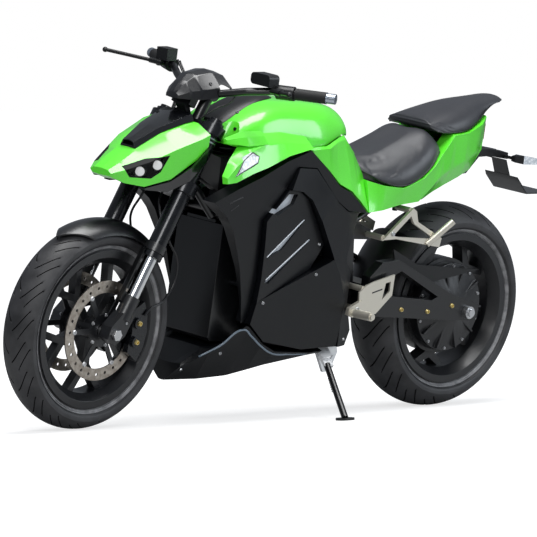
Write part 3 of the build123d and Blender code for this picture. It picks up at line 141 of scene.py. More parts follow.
rear_axle = Vector(joints["rear_wheel_spin"]["pos_m"])
camera_reach = Vector((11.0390, 10.5705, 0.7587))
view_ahead = Vector((-0.69654, -0.71666, -0.03508))
view_right = Vector((-0.71710, 0.69697, 0.0))
view_up = Vector((-0.02445, -0.02516, 0.99938))
lens_of = bpy.data.cameras.new("camera")
lens_of.sensor_width = 36.0
lens_of.lens = 335.6
lens_of.clip_end = 200.0
camera = bpy.data.objects.new("camera", lens_of)
scene.collection.objects.link(camera)
camera.location = rear_axle + camera_reach
aim_right, aim_down = 0.00282, 0.00762
aim = view_ahead + view_right * aim_right - view_up * aim_down
camera.rotation_euler = aim.to_track_quat("-Z", "Y").to_euler()
scene.camera = camera
scene.view_settings.view_transform = "Standard"

# ---------------------------------------------------------------- tyres
# Road tyres of soft carbon-black rubber, moulded and cured in a segmented mould: round crown, smooth
# sidewalls with raised rings, and slanted rain grooves 4.8 mm deep in the tread.


def surface(name, colour, roughness, metallic=0.0, coat=0.0, coat_roughness=0.05, specular=0.5,
            grain=None, haze=None, mottle=None, **more):
    """A material with one Principled surface, whose patterns lie in Object coordinates.

    Each pattern starts with the size of its patches in mm and its detail. grain goes on with the depth of its
    relief in mm and its strength, haze with the least and greatest roughness, and mottle with two colours.
    """
    material, tree, output = blank_material(name)
    shader = add_node(tree, "ShaderNodeBsdfPrincipled", Base_Color=linear(colour), Roughness=roughness,
                      Metallic=metallic, Coat_Weight=coat, Coat_Roughness=coat_roughness,
                      Specular_IOR_Level=specular, **more)
    tree.links.new(shader.outputs[0], output.inputs["Surface"])
    place = add_node(tree, "ShaderNodeTexCoord").outputs["Object"]
    patches = {}
    for size_mm, detail in dict.fromkeys(pattern[:2] for pattern in (grain, haze, mottle) if pattern):
        noise = add_node(tree, "ShaderNodeTexNoise", {"Vector": place}, Scale=1000 / size_mm, Detail=detail,
                         Roughness=0.5)
        patches[size_mm, detail] = noise.outputs["Fac"]
    if grain:
        bump = add_node(tree, "ShaderNodeBump", {"Height": patches[grain[:2]]}, Strength=grain[3],
                        Distance=grain[2] / 1000)
        tree.links.new(bump.outputs[0], shader.inputs["Normal"])
    if haze:
        carried = add_node(tree, "ShaderNodeMapRange", {"Value": patches[haze[:2]]}, From_Min=0.3,
                           From_Max=0.7, To_Min=haze[2], To_Max=haze[3])
        tree.links.new(carried.outputs[0], shader.inputs["Roughness"])
    if mottle:
        ramp = add_node(tree, "ShaderNodeValToRGB", {"Fac": patches[mottle[:2]]})
        for stop, position, shade in zip(ramp.color_ramp.elements, (0.35, 0.65), mottle[2:]):
            stop.position, stop.color = position, linear(shade)
        tree.links.new(ramp.outputs[0], shader.inputs["Base Color"])
    return material


# Cured rubber: near-black and half matt, with a faint grey bloom in patches.
tyre_rubber = surface("cured_tyre_rubber", "2A2A2B", 0.46, specular=0.55,
                      mottle=(60, 4, "232325", "3A3A3C"), haze=(60, 4, 0.46, 0.62),
                      grain=(1.2, 3, 0.12, 0.5))


def axle_frame(joint_name):
    """The matrix that carries a wheel drawn about the origin, axle along Y, to its place."""
    joint = joints[joint_name]
    axle = Vector(joint["axis"]).normalized()
    ahead = axle.cross(Vector((0, 0, 1))).normalized()
    turn = Matrix((ahead, axle, ahead.cross(axle))).transposed().to_4x4()
    return Matrix.Translation(Vector(joint["pos_m"])) @ turn


def keep(shape, name, body, slot_name, *materials, smooth=True):
    """Turn a finished bmesh into a piece that rides on a body."""
    for face in shape.faces:
        face.smooth = smooth
    mesh = bpy.data.meshes.new(name)
    shape.to_mesh(mesh)
    shape.free()
    for material in materials:
        mesh.materials.append(material)
    piece = bpy.data.objects.new(name, mesh)
    scene.collection.objects.link(piece)
    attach(piece, body)
    return piece


def ring_of(profile, steps, place):
    """Spin a closed (across, radius) profile about the axle along Y and put it in its place."""
    shape = bmesh.new()
    corners = [shape.verts.new((0, across, radius)) for across, radius in profile]
    edges = [shape.edges.new((a, b)) for a, b in zip(corners, corners[1:] + corners[:1])]
    bmesh.ops.spin(shape, geom=corners + edges, cent=(0, 0, 0), axis=(0, 1, 0), angle=2 * pi, steps=steps,
                   use_merge=True)
    bmesh.ops.recalc_face_normals(shape, faces=shape.faces)
    bmesh.ops.transform(shape, matrix=place, verts=shape.verts)
    return shape


# Painted shade in the grooves: the same rubber made near-black and duller on the groove floors, standing for
# the shade that falls deep in them.
groove_shade_rubber = surface("groove_painted_shade_rubber", "070707", 0.8, specular=0.2, grain=(1.2, 3, 0.10, 0.4))

# Painted highlight: a pale grey ring on the sidewall beside the rim, the same rubber lightened and mottled in
# patches, standing for the light that band catches.
band_highlight_rubber = surface("sidewall_band_painted_highlight", "6A6A6C", 0.45, specular=0.5,
                         mottle=(25, 4, "6E6E70", "9A9A9C"))


def tyre(name, node, joint_name, radius, half_width, rim_half_width, groove_count):
    """A tyre with slanted rain grooves pressed into its crown and rings on its sidewalls.

    The mesh is twisted about the axle so that its rows follow the grooves, which keeps their edges clean.
    """
    shoulder = radius - 0.55 * half_width
    bead, flange = 0.218, 0.231
    crown_radius = (half_width ** 2 + (radius - shoulder) ** 2) / (2 * (radius - shoulder))
    crown_steps = 40
    sweep = 2 * asin(half_width / crown_radius)
    profile = []
    for step in range(crown_steps + 1):
        angle = -sweep / 2 + sweep * step / crown_steps
        profile.append((crown_radius * sin(angle), radius - crown_radius + crown_radius * cos(angle)))
    wall_out, wall_in = half_width - 0.002, rim_half_width - 0.006
    low, high = flange + 0.004, shoulder - 0.014
    wall = [(half_width - 0.0005, shoulder - 0.007)]
    for share, swell in ((0.0, 0.0), (0.14, 0.0), (0.16, -0.0012), (0.30, -0.0012), (0.32, 0.0006),
                         (0.42, 0.0006), (0.44, -0.0012), (0.66, -0.0012), (0.70, 0.0014),
                         (0.86, 0.0014), (0.90, -0.0006), (1.0, -0.0006)):
        wall.append((wall_out + share * (wall_in - wall_out) + swell, high + share * (low - high)))
    wall.append((wall_in, bead))
    profile += wall + [(-y, r) for y, r in reversed(wall)]
    per_pitch, groove_depth, slant = 24, 0.0048, 1.15
    steps = groove_count * per_pitch
    one_step, one_pitch = 2 * pi / steps, 2 * pi / groove_count
    shape = ring_of(profile, steps, Matrix.Identity(4))
    narrowing = {23: 0.75, 0: 0.2, 1: -0.2, 2: -0.75, 11: 0.75, 12: 0.2, 13: -0.2, 14: -0.75}
    floor_of_groove = set()
    for vert in shape.verts:
        reach = (vert.co.x ** 2 + vert.co.z ** 2) ** 0.5
        across = min(1.0, abs(vert.co.y) / half_width)
        on_tread = reach > shoulder - 0.0045
        turn = atan2(vert.co.x, vert.co.z)
        other_side_shift = 0 if vert.co.y > 0 else per_pitch // 4
        step = round(turn / one_step + other_side_shift) % per_pitch
        long_cut = step in (23, 0, 1, 2) and 0.07 < across < 0.76
        short_cut = step in (11, 12, 13, 14) and 0.44 < across < 0.92
        if on_tread and (long_cut or short_cut):
            turn += narrowing[step] * one_step
            if step in (0, 1, 12, 13):
                reach -= groove_depth
                floor_of_groove.add(vert)
        turn -= slant * one_pitch * (across ** 1.5 if on_tread else 1.0)
        vert.co.x, vert.co.z = reach * sin(turn), reach * cos(turn)
    shape.normal_update()
    for face in shape.faces:
        reach = (face.calc_center_median().xz).length
        # Faces on a groove's floor wear the near-black painted shade.
        if len(floor_of_groove.intersection(face.verts)) >= 2:
            face.material_index = 1
        # Faces in a band of the sidewall near the rim wear the pale painted highlight.
        elif low - 0.001 < reach < low + 0.62 * (high - low):
            face.material_index = 2
    for edge in shape.edges:
        edge.smooth = edge.calc_face_angle(0) < radians(35)
    bmesh.ops.transform(shape, matrix=axle_frame(joint_name), verts=shape.verts)
    body = "front_wheel" if node == "front_tyre" else "rear_wheel"
    piece = keep(shape, name, body, "tyre_rubber", tyre_rubber, groove_shade_rubber, band_highlight_rubber)
    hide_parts(node)


tyre("front_road_tyre", "front_tyre", "front_wheel_spin", 0.300, 0.060, 0.051, 20)
tyre("rear_road_tyre", "rear_tyre", "rear_wheel_spin", 0.315, 0.090, 0.077, 20)

# ---------------------------------------------------------------- wheels, hub motor and axles
# Cast aluminium wheels with five spokes, powder coated black; the rear hub is the motor's ribbed housing.
# Steel discs are bolted on, the front ones on black carriers with bright bobbins, and steel axles pass.


def moulded(node, body, material, edge_mm=1.5, segments=2, crease=24, second=None, is_second=None,
            reshape=None, soft=False):
    """A copy of a CAD piece with its facets joined, its sharp edges rounded and smooth shading.

    Faces whose centre passes is_second wear the second material; reshape works on the merged mesh. A soft
    piece keeps its rounded shading across its facets.
    """
    mesh = nodes[node].data.copy()
    mesh.materials.clear()
    if "custom_normal" in mesh.attributes:
        mesh.attributes.remove(mesh.attributes["custom_normal"])
    shape = bmesh.new()
    shape.from_mesh(mesh)
    bmesh.ops.remove_doubles(shape, verts=shape.verts, dist=2e-5)
    bmesh.ops.dissolve_limit(shape, angle_limit=radians(0.4), verts=shape.verts, edges=shape.edges)
    bmesh.ops.triangulate(shape, faces=[face for face in shape.faces if len(face.verts) > 4])
    for face in shape.faces:
        face.smooth = True
        face.material_index = 1 if is_second and is_second(face.calc_center_median()) else 0
    if reshape:
        reshape(shape)
    for edge in shape.edges:
        edge.smooth = not edge.is_manifold or edge.calc_face_angle(0) < radians(crease)
    shape.to_mesh(mesh)
    shape.free()
    mesh.materials.append(material)
    if second:
        mesh.materials.append(second)
    piece = bpy.data.objects.new("finished_" + node, mesh)
    scene.collection.objects.link(piece)
    if edge_mm:
        rounding = piece.modifiers.new("rounded_edges", "BEVEL")
        rounding.width = edge_mm / 1000
        rounding.segments = segments
        rounding.limit_method = "ANGLE"
        rounding.angle_limit = radians(crease)
        rounding.harden_normals = False
        rounding.use_clamp_overlap = True
    if edge_mm and not soft:
        shading = piece.modifiers.new("even_shading", "WEIGHTED_NORMAL")
        shading.keep_sharp = False
    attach(piece, body)
    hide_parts(node)
    return piece


# Powder coat on cast aluminium: black, half gloss, with a fine orange peel.
cast_black = surface("powder_coated_cast_aluminium", "131417", 0.36, coat=0.25, coat_roughness=0.2,
                     grain=(3.0, 3, 0.10, 0.5), haze=(40, 2, 0.33, 0.46))

# Ground steel, slightly browned by use: bright, with fine scratches left by the pads.
disc_steel = surface("ground_disc_steel", "ADA59B", 0.30, metallic=1.0, haze=(0.8, 4, 0.26, 0.44),
                     mottle=(14, 2, "9C9389", "BAB3A9"), grain=(0.8, 4, 0.03, 0.3))

# Zinc-plated steel: bright grey with a faint mottle, used on axle ends, nuts and springs.
plated_steel = surface("zinc_plated_steel", "C6C7C9", 0.30, metallic=1.0, haze=(6, 2, 0.24, 0.38))

# Yellow chromate on steel: pale brass with a faint rainbow mottle, on the machine's larger bolts.
yellow_steel = surface("yellow_chromated_steel", "D8C07A", 0.30, metallic=1.0,
                       mottle=(5, 2, "CBB068", "E6D69A"))


machine_left = Vector(joints["rear_wheel_spin"]["axis"]).normalized()
machine_up = Vector((1, 0, 0)).cross(machine_left)
steer_up = Vector(joints["steering"]["axis"]).normalized()
steer_left = Vector(joints["front_wheel_spin"]["axis"]).normalized()
steer_ahead = steer_left.cross(steer_up)
head_centre = Vector(joints["steering"]["pos_m"])
rake = radians(27)
half_wheelbase, rear_axle_height = 717.5, 315
head_ahead, head_height, head_lift = 454, 720, 70


def on_machine(x, y, z):
    """A place on the frame, in mm on the upright machine: ahead of mid-wheelbase, left, above the ground."""
    return rear_axle + (Vector((1, 0, 0)) * (x + half_wheelbase) + machine_left * y
                        + machine_up * (z - rear_axle_height)) / 1000


def on_front(x, y, z):
    """The same for a place that steers with the fork."""
    ahead = (x - head_ahead) * cos(rake) + (z - head_height) * sin(rake)
    up = (z - head_height) * cos(rake) - (x - head_ahead) * sin(rake)
    return head_centre + (steer_ahead * ahead + steer_left * y + steer_up * (up - head_lift)) / 1000


skins = {}


def seat_on(node_names, outside, inside):
    """Where a line from outside to inside first meets one of the CAD pieces, and the way it faces there."""
    hits = []
    for node in node_names:
        if node not in skins:
            mesh = nodes[node].data
            skins[node] = BVHTree.FromPolygons([vert.co.copy() for vert in mesh.vertices],
                                               [face.vertices[:] for face in mesh.polygons])
        spot, facing, _, reach = skins[node].ray_cast(outside, (inside - outside).normalized())
        if spot:
            hits.append((reach, spot, facing if facing.dot(outside - inside) > 0 else -facing))
    if not hits:
        raise ValueError(f"nothing of {node_names} lies there")
    return min(hits, key=lambda hit: hit[0])[1:]


def beside(node_names, x, z, sides=(1, -1), place=on_machine):
    """Seats on both flanks of a piece, at a place given from the side."""
    return [seat_on(node_names, place(x, side * 450, z), place(x, side * 2, z)) for side in sides]


def join_to(whole, part):
    """Add a small finished bmesh to a larger one."""
    made = bpy.data.meshes.new("one_part")
    part.to_mesh(made)
    part.free()
    whole.from_mesh(made)
    bpy.data.meshes.remove(made)


def bolts(name, body, slot_name, material, seats, radius_mm, height_mm):
    """Button-head bolts with a hexagonal socket in each."""
    shape = bmesh.new()
    for spot, facing in seats:
        head = bmesh.new()
        bmesh.ops.create_cone(head, cap_ends=True, segments=18, radius1=radius_mm / 1000,
                              radius2=radius_mm * 0.74 / 1000, depth=height_mm / 1000)
        crown = max(head.faces, key=lambda face: face.calc_center_median().z)
        bmesh.ops.inset_region(head, faces=[crown], thickness=radius_mm * 0.28 / 1000)
        bmesh.ops.inset_region(head, faces=[crown], thickness=0.0001, depth=-height_mm * 0.55 / 1000)
        turn = facing.to_track_quat("Z", "Y").to_matrix().to_4x4()
        seat = Matrix.Translation(spot + facing * height_mm * 0.3 / 1000)
        bmesh.ops.transform(head, matrix=seat @ turn, verts=head.verts)
        join_to(shape, head)
    return keep(shape, name, body, slot_name, material, smooth=False)


def from_front_axle(point):
    """How far a place lies from the front wheel's axle line, in mm."""
    away = point - Vector(joints["front_wheel_spin"]["pos_m"])
    return (away - steer_left * away.dot(steer_left)).length * 1000


moulded("front_rim", "front_wheel", cast_black, 1.6)
moulded("rear_rim", "rear_wheel", cast_black, 2.0)
moulded("hub_motor", "rear_wheel", cast_black, 2.0)
moulded("front_discs", "front_wheel", disc_steel, 0.4, 1, second=cast_black,
        is_second=lambda point: from_front_axle(point) < 109)
moulded("rear_disc", "rear_wheel", disc_steel, 0.4, 1)
moulded("front_axle", "steering", plated_steel, 0.8)
moulded("rear_axle", "chassis", plated_steel, 0.8)


def bolt_circle(place, axle_ahead, axle_height, out_left, left, count, radius, first_deg):
    """Seats evenly round an axle on both flanks, at a radius in mm."""
    seats = []
    for side in (1, -1):
        for bolt in range(count):
            turn = radians(first_deg + bolt * 360 / count)
            seats.append((place(axle_ahead + radius * cos(turn), side * out_left,
                                axle_height + radius * sin(turn)), left * side))
    return seats


front_axle_height = 300
bolts("disc_bobbins", "front_wheel", "steel", plated_steel,
      bolt_circle(on_front, half_wheelbase, front_axle_height, 64.5, steer_left, 6, 110, 0), 8, 3)
bolts("disc_carrier_bolts", "front_wheel", "steel", plated_steel,
      bolt_circle(on_front, half_wheelbase, front_axle_height, 64.5, steer_left, 5, 46, 30), 6, 4)
bolts("motor_cover_bolts", "rear_wheel", "steel", plated_steel,
      bolt_circle(on_machine, -half_wheelbase, rear_axle_height, 62, machine_left, 10, 127, 18), 5.5, 5)

# ---------------------------------------------------------------- fork, clamps, calipers and mudguard
# Upside-down fork: black anodised outer tubes with a pair of turned rings, held in two clamps, hard-chromed
# sliders, cast feet that carry the axle and calipers, and moulded guards.

# Black anodised aluminium: dark, smooth, with a soft metallic sheen.
anodised_black = surface("black_anodised_aluminium", "17191D", 0.26, metallic=0.5, coat=0.4,
                         coat_roughness=0.12, haze=(12, 2, 0.22, 0.34), grain=(0.8, 2, 0.02, 0.3))

# Hard chrome on ground steel: mirror bright with the faintest haze.
hard_chrome = surface("hard_chromed_steel", "D8DADC", 0.08, metallic=1.0, haze=(9, 2, 0.06, 0.14))

# Turned aluminium, left bright under clear anodising: a cool silver.
bright_alloy = surface("clear_anodised_aluminium", "B9C2CC", 0.25, metallic=1.0, haze=(7, 2, 0.2, 0.32))

# Satin ABS: injection moulded, black, with a fine spark-eroded grain.
satin_abs = surface("satin_black_abs", "0A0B0D", 0.36, specular=0.45, grain=(0.9, 2, 0.05, 0.5),
                    haze=(90, 3, 0.34, 0.45))

# Lacquered ABS: black under clear lacquer, so it shows the studio sharply.
gloss_abs = surface("lacquered_black_abs", "06070A", 0.22, coat=1.0, coat_roughness=0.05,
                    grain=(25, 2, 0.06, 0.25))


def on_fork(ahead, y, up):
    """A place that steers, in mm along the fork: ahead of the steering axis, left, and up along it."""
    return head_centre + (steer_ahead * ahead + steer_left * y + steer_up * (up - head_lift)) / 1000


def height_on_fork(point):
    """How far up the fork a place lies, in mm."""
    return (point - head_centre).dot(steer_up) * 1000 + head_lift


moulded("triple_clamps", "steering", anodised_black, 2.0)
moulded("fork_tubes", "steering", anodised_black, 1.0)
moulded("fork_legs", "steering", cast_black, 2.0, second=hard_chrome,
        is_second=lambda point: height_on_fork(point) > -370)
moulded("front_calipers", "steering", anodised_black, 2.0)


def open_guards(shape):
    """Trim each guard to its inner half, so the chromed slider shows on the outside."""
    for side in (1, -1):
        half = [vert for vert in shape.verts if (vert.co - head_centre).dot(steer_left) * side > 0]
        half += [edge for edge in shape.edges if edge.verts[0] in set(half)]
        half += [face for face in shape.faces if face.verts[0] in set(half)]
        cut = bmesh.ops.bisect_plane(shape, geom=half, plane_co=on_fork(30, side * 99, 0),
                                     plane_no=steer_left * side, clear_outer=True)["geom_cut"]
        bmesh.ops.holes_fill(shape, edges=[edge for edge in cut if isinstance(edge, bmesh.types.BMEdge)])


# Mudguard lacquer: black, satin, so the sky lies on it as one soft band.
satin_lacquer = surface("satin_black_lacquer", "0A0B0F", 0.34, coat=0.5, coat_roughness=0.3,
                        grain=(25, 2, 0.05, 0.2))

moulded("fork_guards", "steering", satin_abs, 1.2, reshape=open_guards)
moulded("front_mudguard", "steering", satin_lacquer, 1.2)


def turned_ring(section_mm):
    """A ring turned about Z from a closed (out, up) section in mm."""
    ring = bmesh.new()
    corners = [ring.verts.new((out / 1000, 0, high / 1000)) for out, high in section_mm]
    edges = [ring.edges.new((a, b)) for a, b in zip(corners, corners[1:] + corners[:1])]
    bmesh.ops.spin(ring, geom=corners + edges, cent=(0, 0, 0), axis=(0, 0, 1), angle=2 * pi, steps=48,
                   use_merge=True)
    bmesh.ops.recalc_face_normals(ring, faces=ring.faces)
    return ring


tube_radius = 27.1
tube_rings = bmesh.new()
for side in (1, -1):
    for up in (-218, -206, 128, 140):
        ring = turned_ring([(tube_radius + out, high) for out, high in
                            ((0, -2.5), (1.0, -2.0), (1.3, 0), (1.0, 2.0), (0, 2.5), (-0.8, 0))])
        stand_up = Matrix((steer_ahead, steer_left, steer_up)).transposed().to_4x4()
        bmesh.ops.transform(ring, matrix=Matrix.Translation(on_fork(30, side * 100, up)) @ stand_up,
                            verts=ring.verts)
        join_to(tube_rings, ring)
keep(tube_rings, "fork_tube_rings", "steering", "steel", bright_alloy)

fork_parts = ["front_calipers", "fork_legs", "front_axle", "fork_guards"]
pins, piston_circle = [], 122
for angle in (radians(170), radians(196)):
    pins += beside(["front_calipers"], half_wheelbase + piston_circle * cos(angle),
                   front_axle_height + piston_circle * sin(angle), place=on_front)
bolts("caliper_bolts", "steering", "steel", yellow_steel, pins, 9, 6)
bolts("axle_pinch_bolts", "steering", "steel", plated_steel,
      beside(fork_parts, 26, -448, place=on_fork), 5, 4)

# ---------------------------------------------------------------- handlebar, grips and controls
# A steel bar in two risers, ribbed rubber grips with turned ends, cast levers and moulded switch boxes.

# Grip rubber: moulded, matt, soft to the eye.
grip_rubber = surface("moulded_grip_rubber", "141415", 0.62, specular=0.4, grain=(2.0, 2, 0.3, 0.6))

# Hose rubber: extruded, smooth, with a soft shine.
hose_rubber = surface("extruded_hose_rubber", "131316", 0.32, specular=0.5, grain=(1.5, 2, 0.05, 0.4))

# Powder coat on steel: black and half gloss.
coated_steel = surface("powder_coated_steel", "0A0B0D", 0.32, coat=0.25, coat_roughness=0.2,
                       grain=(2.0, 3, 0.06, 0.5))


def tube_along(name, body, slot_name, material, points, radius_mm):
    """A round tube, cable or seam through the given places, closed at its ends."""
    path = bpy.data.curves.new(name, "CURVE")
    path.dimensions = "3D"
    path.bevel_depth = radius_mm / 1000
    path.bevel_resolution = 3
    path.resolution_u = 8
    path.use_fill_caps = True
    line = path.splines.new("BEZIER")
    line.bezier_points.add(len(points) - 1)
    for knot, point in zip(line.bezier_points, points):
        knot.co = point
        knot.handle_left_type = knot.handle_right_type = "AUTO"
    strand = bpy.data.objects.new(name, path)
    scene.collection.objects.link(strand)
    drawn = bpy.data.meshes.new_from_object(strand.evaluated_get(bpy.context.evaluated_depsgraph_get()))
    bpy.data.objects.remove(strand)
    shape = bmesh.new()
    shape.from_mesh(drawn)
    bpy.data.meshes.remove(drawn)
    bmesh.ops.remove_doubles(shape, verts=shape.verts, dist=1e-6)
    bmesh.ops.recalc_face_normals(shape, faces=shape.faces)
    return keep(shape, name, body, slot_name, material)


moulded("handlebar", "steering", coated_steel, 1.0)
moulded("grips", "steering", grip_rubber, 1.5, second=bright_alloy,
        is_second=lambda point: abs((point - head_centre).dot(steer_left)) > 0.337)
moulded("bar_controls", "steering", satin_abs, 4.0, 3)
moulded("instrument", "steering", satin_abs, 3.0)
moulded("visor", "steering", satin_lacquer, 0, crease=62)
moulded("brake_hoses", "steering", hose_rubber, 0)

cable_radius = 2.6
for strand, (y_shift, z_shift) in enumerate(((0, 0), (5, 4), (-4, 6))):
    route = [(282, -180, 1028), (305, -130, 990), (360, -90, 948), (409, -60, 910), (430, -48, 868)]
    tube_along(f"right_control_cable_{strand + 1}", "steering", "grip_rubber", hose_rubber,
               [on_front(x, y + y_shift, z + z_shift) for x, y, z in route], cable_radius)
route = [(325, 110, 1000), (340, 100, 965), (380, 78, 940), (414, 50, 905)]
tube_along("left_control_cable", "steering", "grip_rubber", hose_rubber,
           [on_front(x, y, z) for x, y, z in route], cable_radius)

# ---------------------------------------------------------------- headlamp cowl
# Moulded shell in two halves, painted and lacquered green. Each side has a deep black lamp bowl with two
# projectors behind a smoked cover, and black inserts close the top and the lower edge.

# Lime green paint: bright base coat under thick clear lacquer, with a fine flake in it.
green_paint = surface("lime_green_lacquer", "5AE42C", 0.36, coat=1.0, coat_roughness=0.13,
                      mottle=(0.9, 1, "52DC24", "64EC36"), grain=(45, 2, 0.08, 0.2))

# Smoked polycarbonate: thin, glossy, lets most of the light through.
smoked_cover = surface("smoked_polycarbonate", "020304", 0.05, specular=0.35, Alpha=0.22)

# Lamp bowls: moulded black, matt, so no stray light shows in them.
lamp_bowl = surface("matt_black_lamp_bowl", "060709", 0.62, specular=0.25, grain=(0.9, 2, 0.03, 0.4))

# Projector lenses: clear glass over a white reflector, seen as milky white, with a faint glow painted in
# (emission 0.7) as painted light that keeps them white.
projector_glass_painted_glow = surface("projector_glass_painted_glow", "EEF2F6", 0.06, coat=1.0, coat_roughness=0.02,
                          Emission_Color=linear("FFFFFF"), Emission_Strength=0.7)

moulded("headlamp_cowl", "steering", green_paint, 1.5)
moulded("cowl_trims", "steering", gloss_abs, 1.0)

lamp_facing = {side: (on_front(640 + 425.6, side * 905, 770) - on_front(640, 0, 770)).normalized()
               for side in (1, -1)}
lamp_middle = {side: on_front(640, side * 75, 770) for side in (1, -1)}


def lamp_skin(shape, side):
    """The faces of one lamp that show through the opening in the cowl."""
    return [face for face in shape.faces if face.normal.dot(lamp_facing[side]) > 0.9
            and (face.calc_center_median() - lamp_middle[side]).dot(lamp_facing[side]) > 0]


def sink_lamps(shape):
    """Sink each lamp's face behind a narrow rim, as the bowl that holds the projectors."""
    shape.normal_update()
    for side in (1, -1):
        chosen = lamp_skin(shape, side)
        bmesh.ops.inset_region(shape, faces=chosen, thickness=0.0025)
        bmesh.ops.inset_region(shape, faces=chosen, thickness=0.0002, depth=-0.017)


moulded("headlamps", "steering", lamp_bowl, 0, reshape=sink_lamps)

covers = bmesh.new()
covers.from_mesh(nodes["headlamps"].data)
bmesh.ops.remove_doubles(covers, verts=covers.verts, dist=2e-5)
covers.normal_update()
shown = lamp_skin(covers, 1) + lamp_skin(covers, -1)
bmesh.ops.delete(covers, geom=[face for face in covers.faces if face not in set(shown)], context="FACES")
bmesh.ops.solidify(covers, geom=covers.faces[:], thickness=0.0012)
keep(covers, "lamp_covers", "steering", "clear_lens", smoked_cover, smooth=False)

bezels = bmesh.new()
lenses = bmesh.new()
for side in (1, -1):
    straight_on = (on_front(740, 0, 770) - on_front(640, 0, 770)).normalized()
    aim = (lamp_facing[side] + straight_on * 0.8).normalized()
    turn = aim.to_track_quat("Z", "Y").to_matrix().to_4x4()
    for x, z in ((657, 763), (607, 783)):
        spot = beside(["headlamps"], x, z, (side,), on_front)[0][0] - lamp_facing[side] * 0.0115
        barrel = turned_ring([(14.0, -8), (14.0, 2.0), (15.2, 3.0), (16.6, 2.6), (17.2, 1.0), (17.2, -8)])
        glass = bmesh.new()
        bmesh.ops.create_uvsphere(glass, u_segments=40, v_segments=20, radius=0.0138)
        bmesh.ops.scale(glass, vec=(1, 1, 0.34), verts=glass.verts)
        for part, whole in ((barrel, bezels), (glass, lenses)):
            bmesh.ops.transform(part, matrix=Matrix.Translation(spot) @ turn, verts=part.verts)
            join_to(whole, part)
keep(bezels, "projector_bezels", "steering", "black_casting", anodised_black)
keep(lenses, "projector_lenses", "steering", "clear_lens", projector_glass_painted_glow)

bolts("visor_bolts", "steering", "steel", anodised_black, beside(["visor"], 389, 1009, place=on_front), 6, 4)
bolts("cowl_insert_bolts", "steering", "steel", anodised_black,
      [seat_on(["cowl_trims", "headlamp_cowl"], on_front(487, side * 45, 1100), on_front(487, side * 45, 850))
       for side in (1, -1)], 6, 4)

# ---------------------------------------------------------------- frame, battery case and swingarm
# Welded steel frame and a ribbed battery case hung in it, and a truss swingarm that carries the rear wheel,
# all powder coated black, with the damper, the rear caliper and the plastic hugger bolted on.

moulded("main_frame", "chassis", coated_steel, 3.0)
moulded("battery_case", "chassis", coated_steel, 3.0)
moulded("swingarm", "chassis", coated_steel, 3.0)
moulded("rear_shock", "chassis", plated_steel, 1.0)
moulded("rear_caliper", "chassis", anodised_black, 2.0)
moulded("hugger", "chassis", satin_abs, 1.2)

arm_bolts = []
for x, z in ((-430, 332), (-545, 322), (-649, 336)):
    arm_bolts += beside(["swingarm"], x, z)
bolts("swingarm_bolts", "chassis", "steel", yellow_steel, arm_bolts, 8, 6)

# ---------------------------------------------------------------- footrest hangers and side stand
# Cast aluminium hangers with heel guards and folding pegs, blasted and anodised a pale champagne, and a steel
# stand leg on a pressed bracket with its return spring.

# Champagne anodised aluminium: cast, blasted and anodised, pale and satin.
champagne = surface("champagne_anodised_aluminium", "D6D1C4", 0.40, metallic=0.75,
                    grain=(0.9, 2, 0.05, 0.6), haze=(30, 2, 0.32, 0.42))

# Silver paint on pressed steel: pale and satin.
silver_paint = surface("silver_painted_steel", "ECEDEE", 0.34, metallic=0.2, coat=0.3,
                       mottle=(20, 2, "E4E6E8", "F4F5F6"))

moulded("footrests", "chassis", champagne, 1.6)
moulded("stand_bracket", "chassis", silver_paint, 1.5)
stand_pivot = Vector(joints["stand_fold"]["pos_m"])
moulded("side_stand", "side_stand", coated_steel, 1.5, second=silver_paint,
        is_second=lambda point: (point - stand_pivot).length < 0.085)
bolts("hanger_bolts", "chassis", "steel", plated_steel,
      beside(["footrests"], -349, 566) + beside(["footrests"], -214, 346), 8, 5)

# Dark strips on the heel guards stand for their lightening slots: painted shade where the openings are.
for side, flank in ((1, "left"), (-1, "right")):
    slot_ends = [seat_on(["footrests"], on_machine(x, side * 450, z), on_machine(x, 0, z))[0]
                 for x, z in ((-276, 392), (-296, 397), (-317, 402))]
    tube_along(f"{flank}_heel_guard_slot", "chassis", "satin_black", satin_abs,
               [spot - machine_left * side * 0.0022 for spot in slot_ends], 3.2)

coil = []
for step in range(61):
    turn = step / 60 * 7.5 * 2 * pi
    along = on_machine(-121, 170, 150).lerp(on_machine(-119, 199, 108), step / 60)
    coil.append(along + Vector((cos(turn), sin(turn) * 0.5, sin(turn) * 0.87)) * 0.0055)
tube_along("stand_spring", "side_stand", "steel", plated_steel, coil, 1.2)

# ---------------------------------------------------------------- bodywork
# Moulded shells over the frame: the tank cover, its shrouds and the knee covers painted green, the console,
# the side, spar, vent and lower panels and the belly pan left black, all held by button-head bolts.

# Panel ABS: nearly black with a blue cast, satin.
panel_abs = surface("satin_blue_black_abs", "06080C", 0.30, specular=0.32, grain=(0.9, 2, 0.04, 0.45),
                    haze=(110, 3, 0.30, 0.42))

# Painted highlight on the vent blades and in the vent slots: a near-white, pale steel-blue satin paint that
# stands for the light caught along each blade's edge and seen in the slots.
vent_highlight_paint = surface("vent_painted_highlight", "DDE3EA", 0.32, coat=0.4, haze=(20, 2, 0.28, 0.38))

# Painted highlight on the belly pan's rail: a blue-grey satin strip, a shade lighter than the pan, standing
# for the light along its upper edge.
rail_highlight_paint = surface("belly_rail_painted_highlight", "6E7C89", 0.34, coat=0.3, haze=(20, 2, 0.3, 0.4))

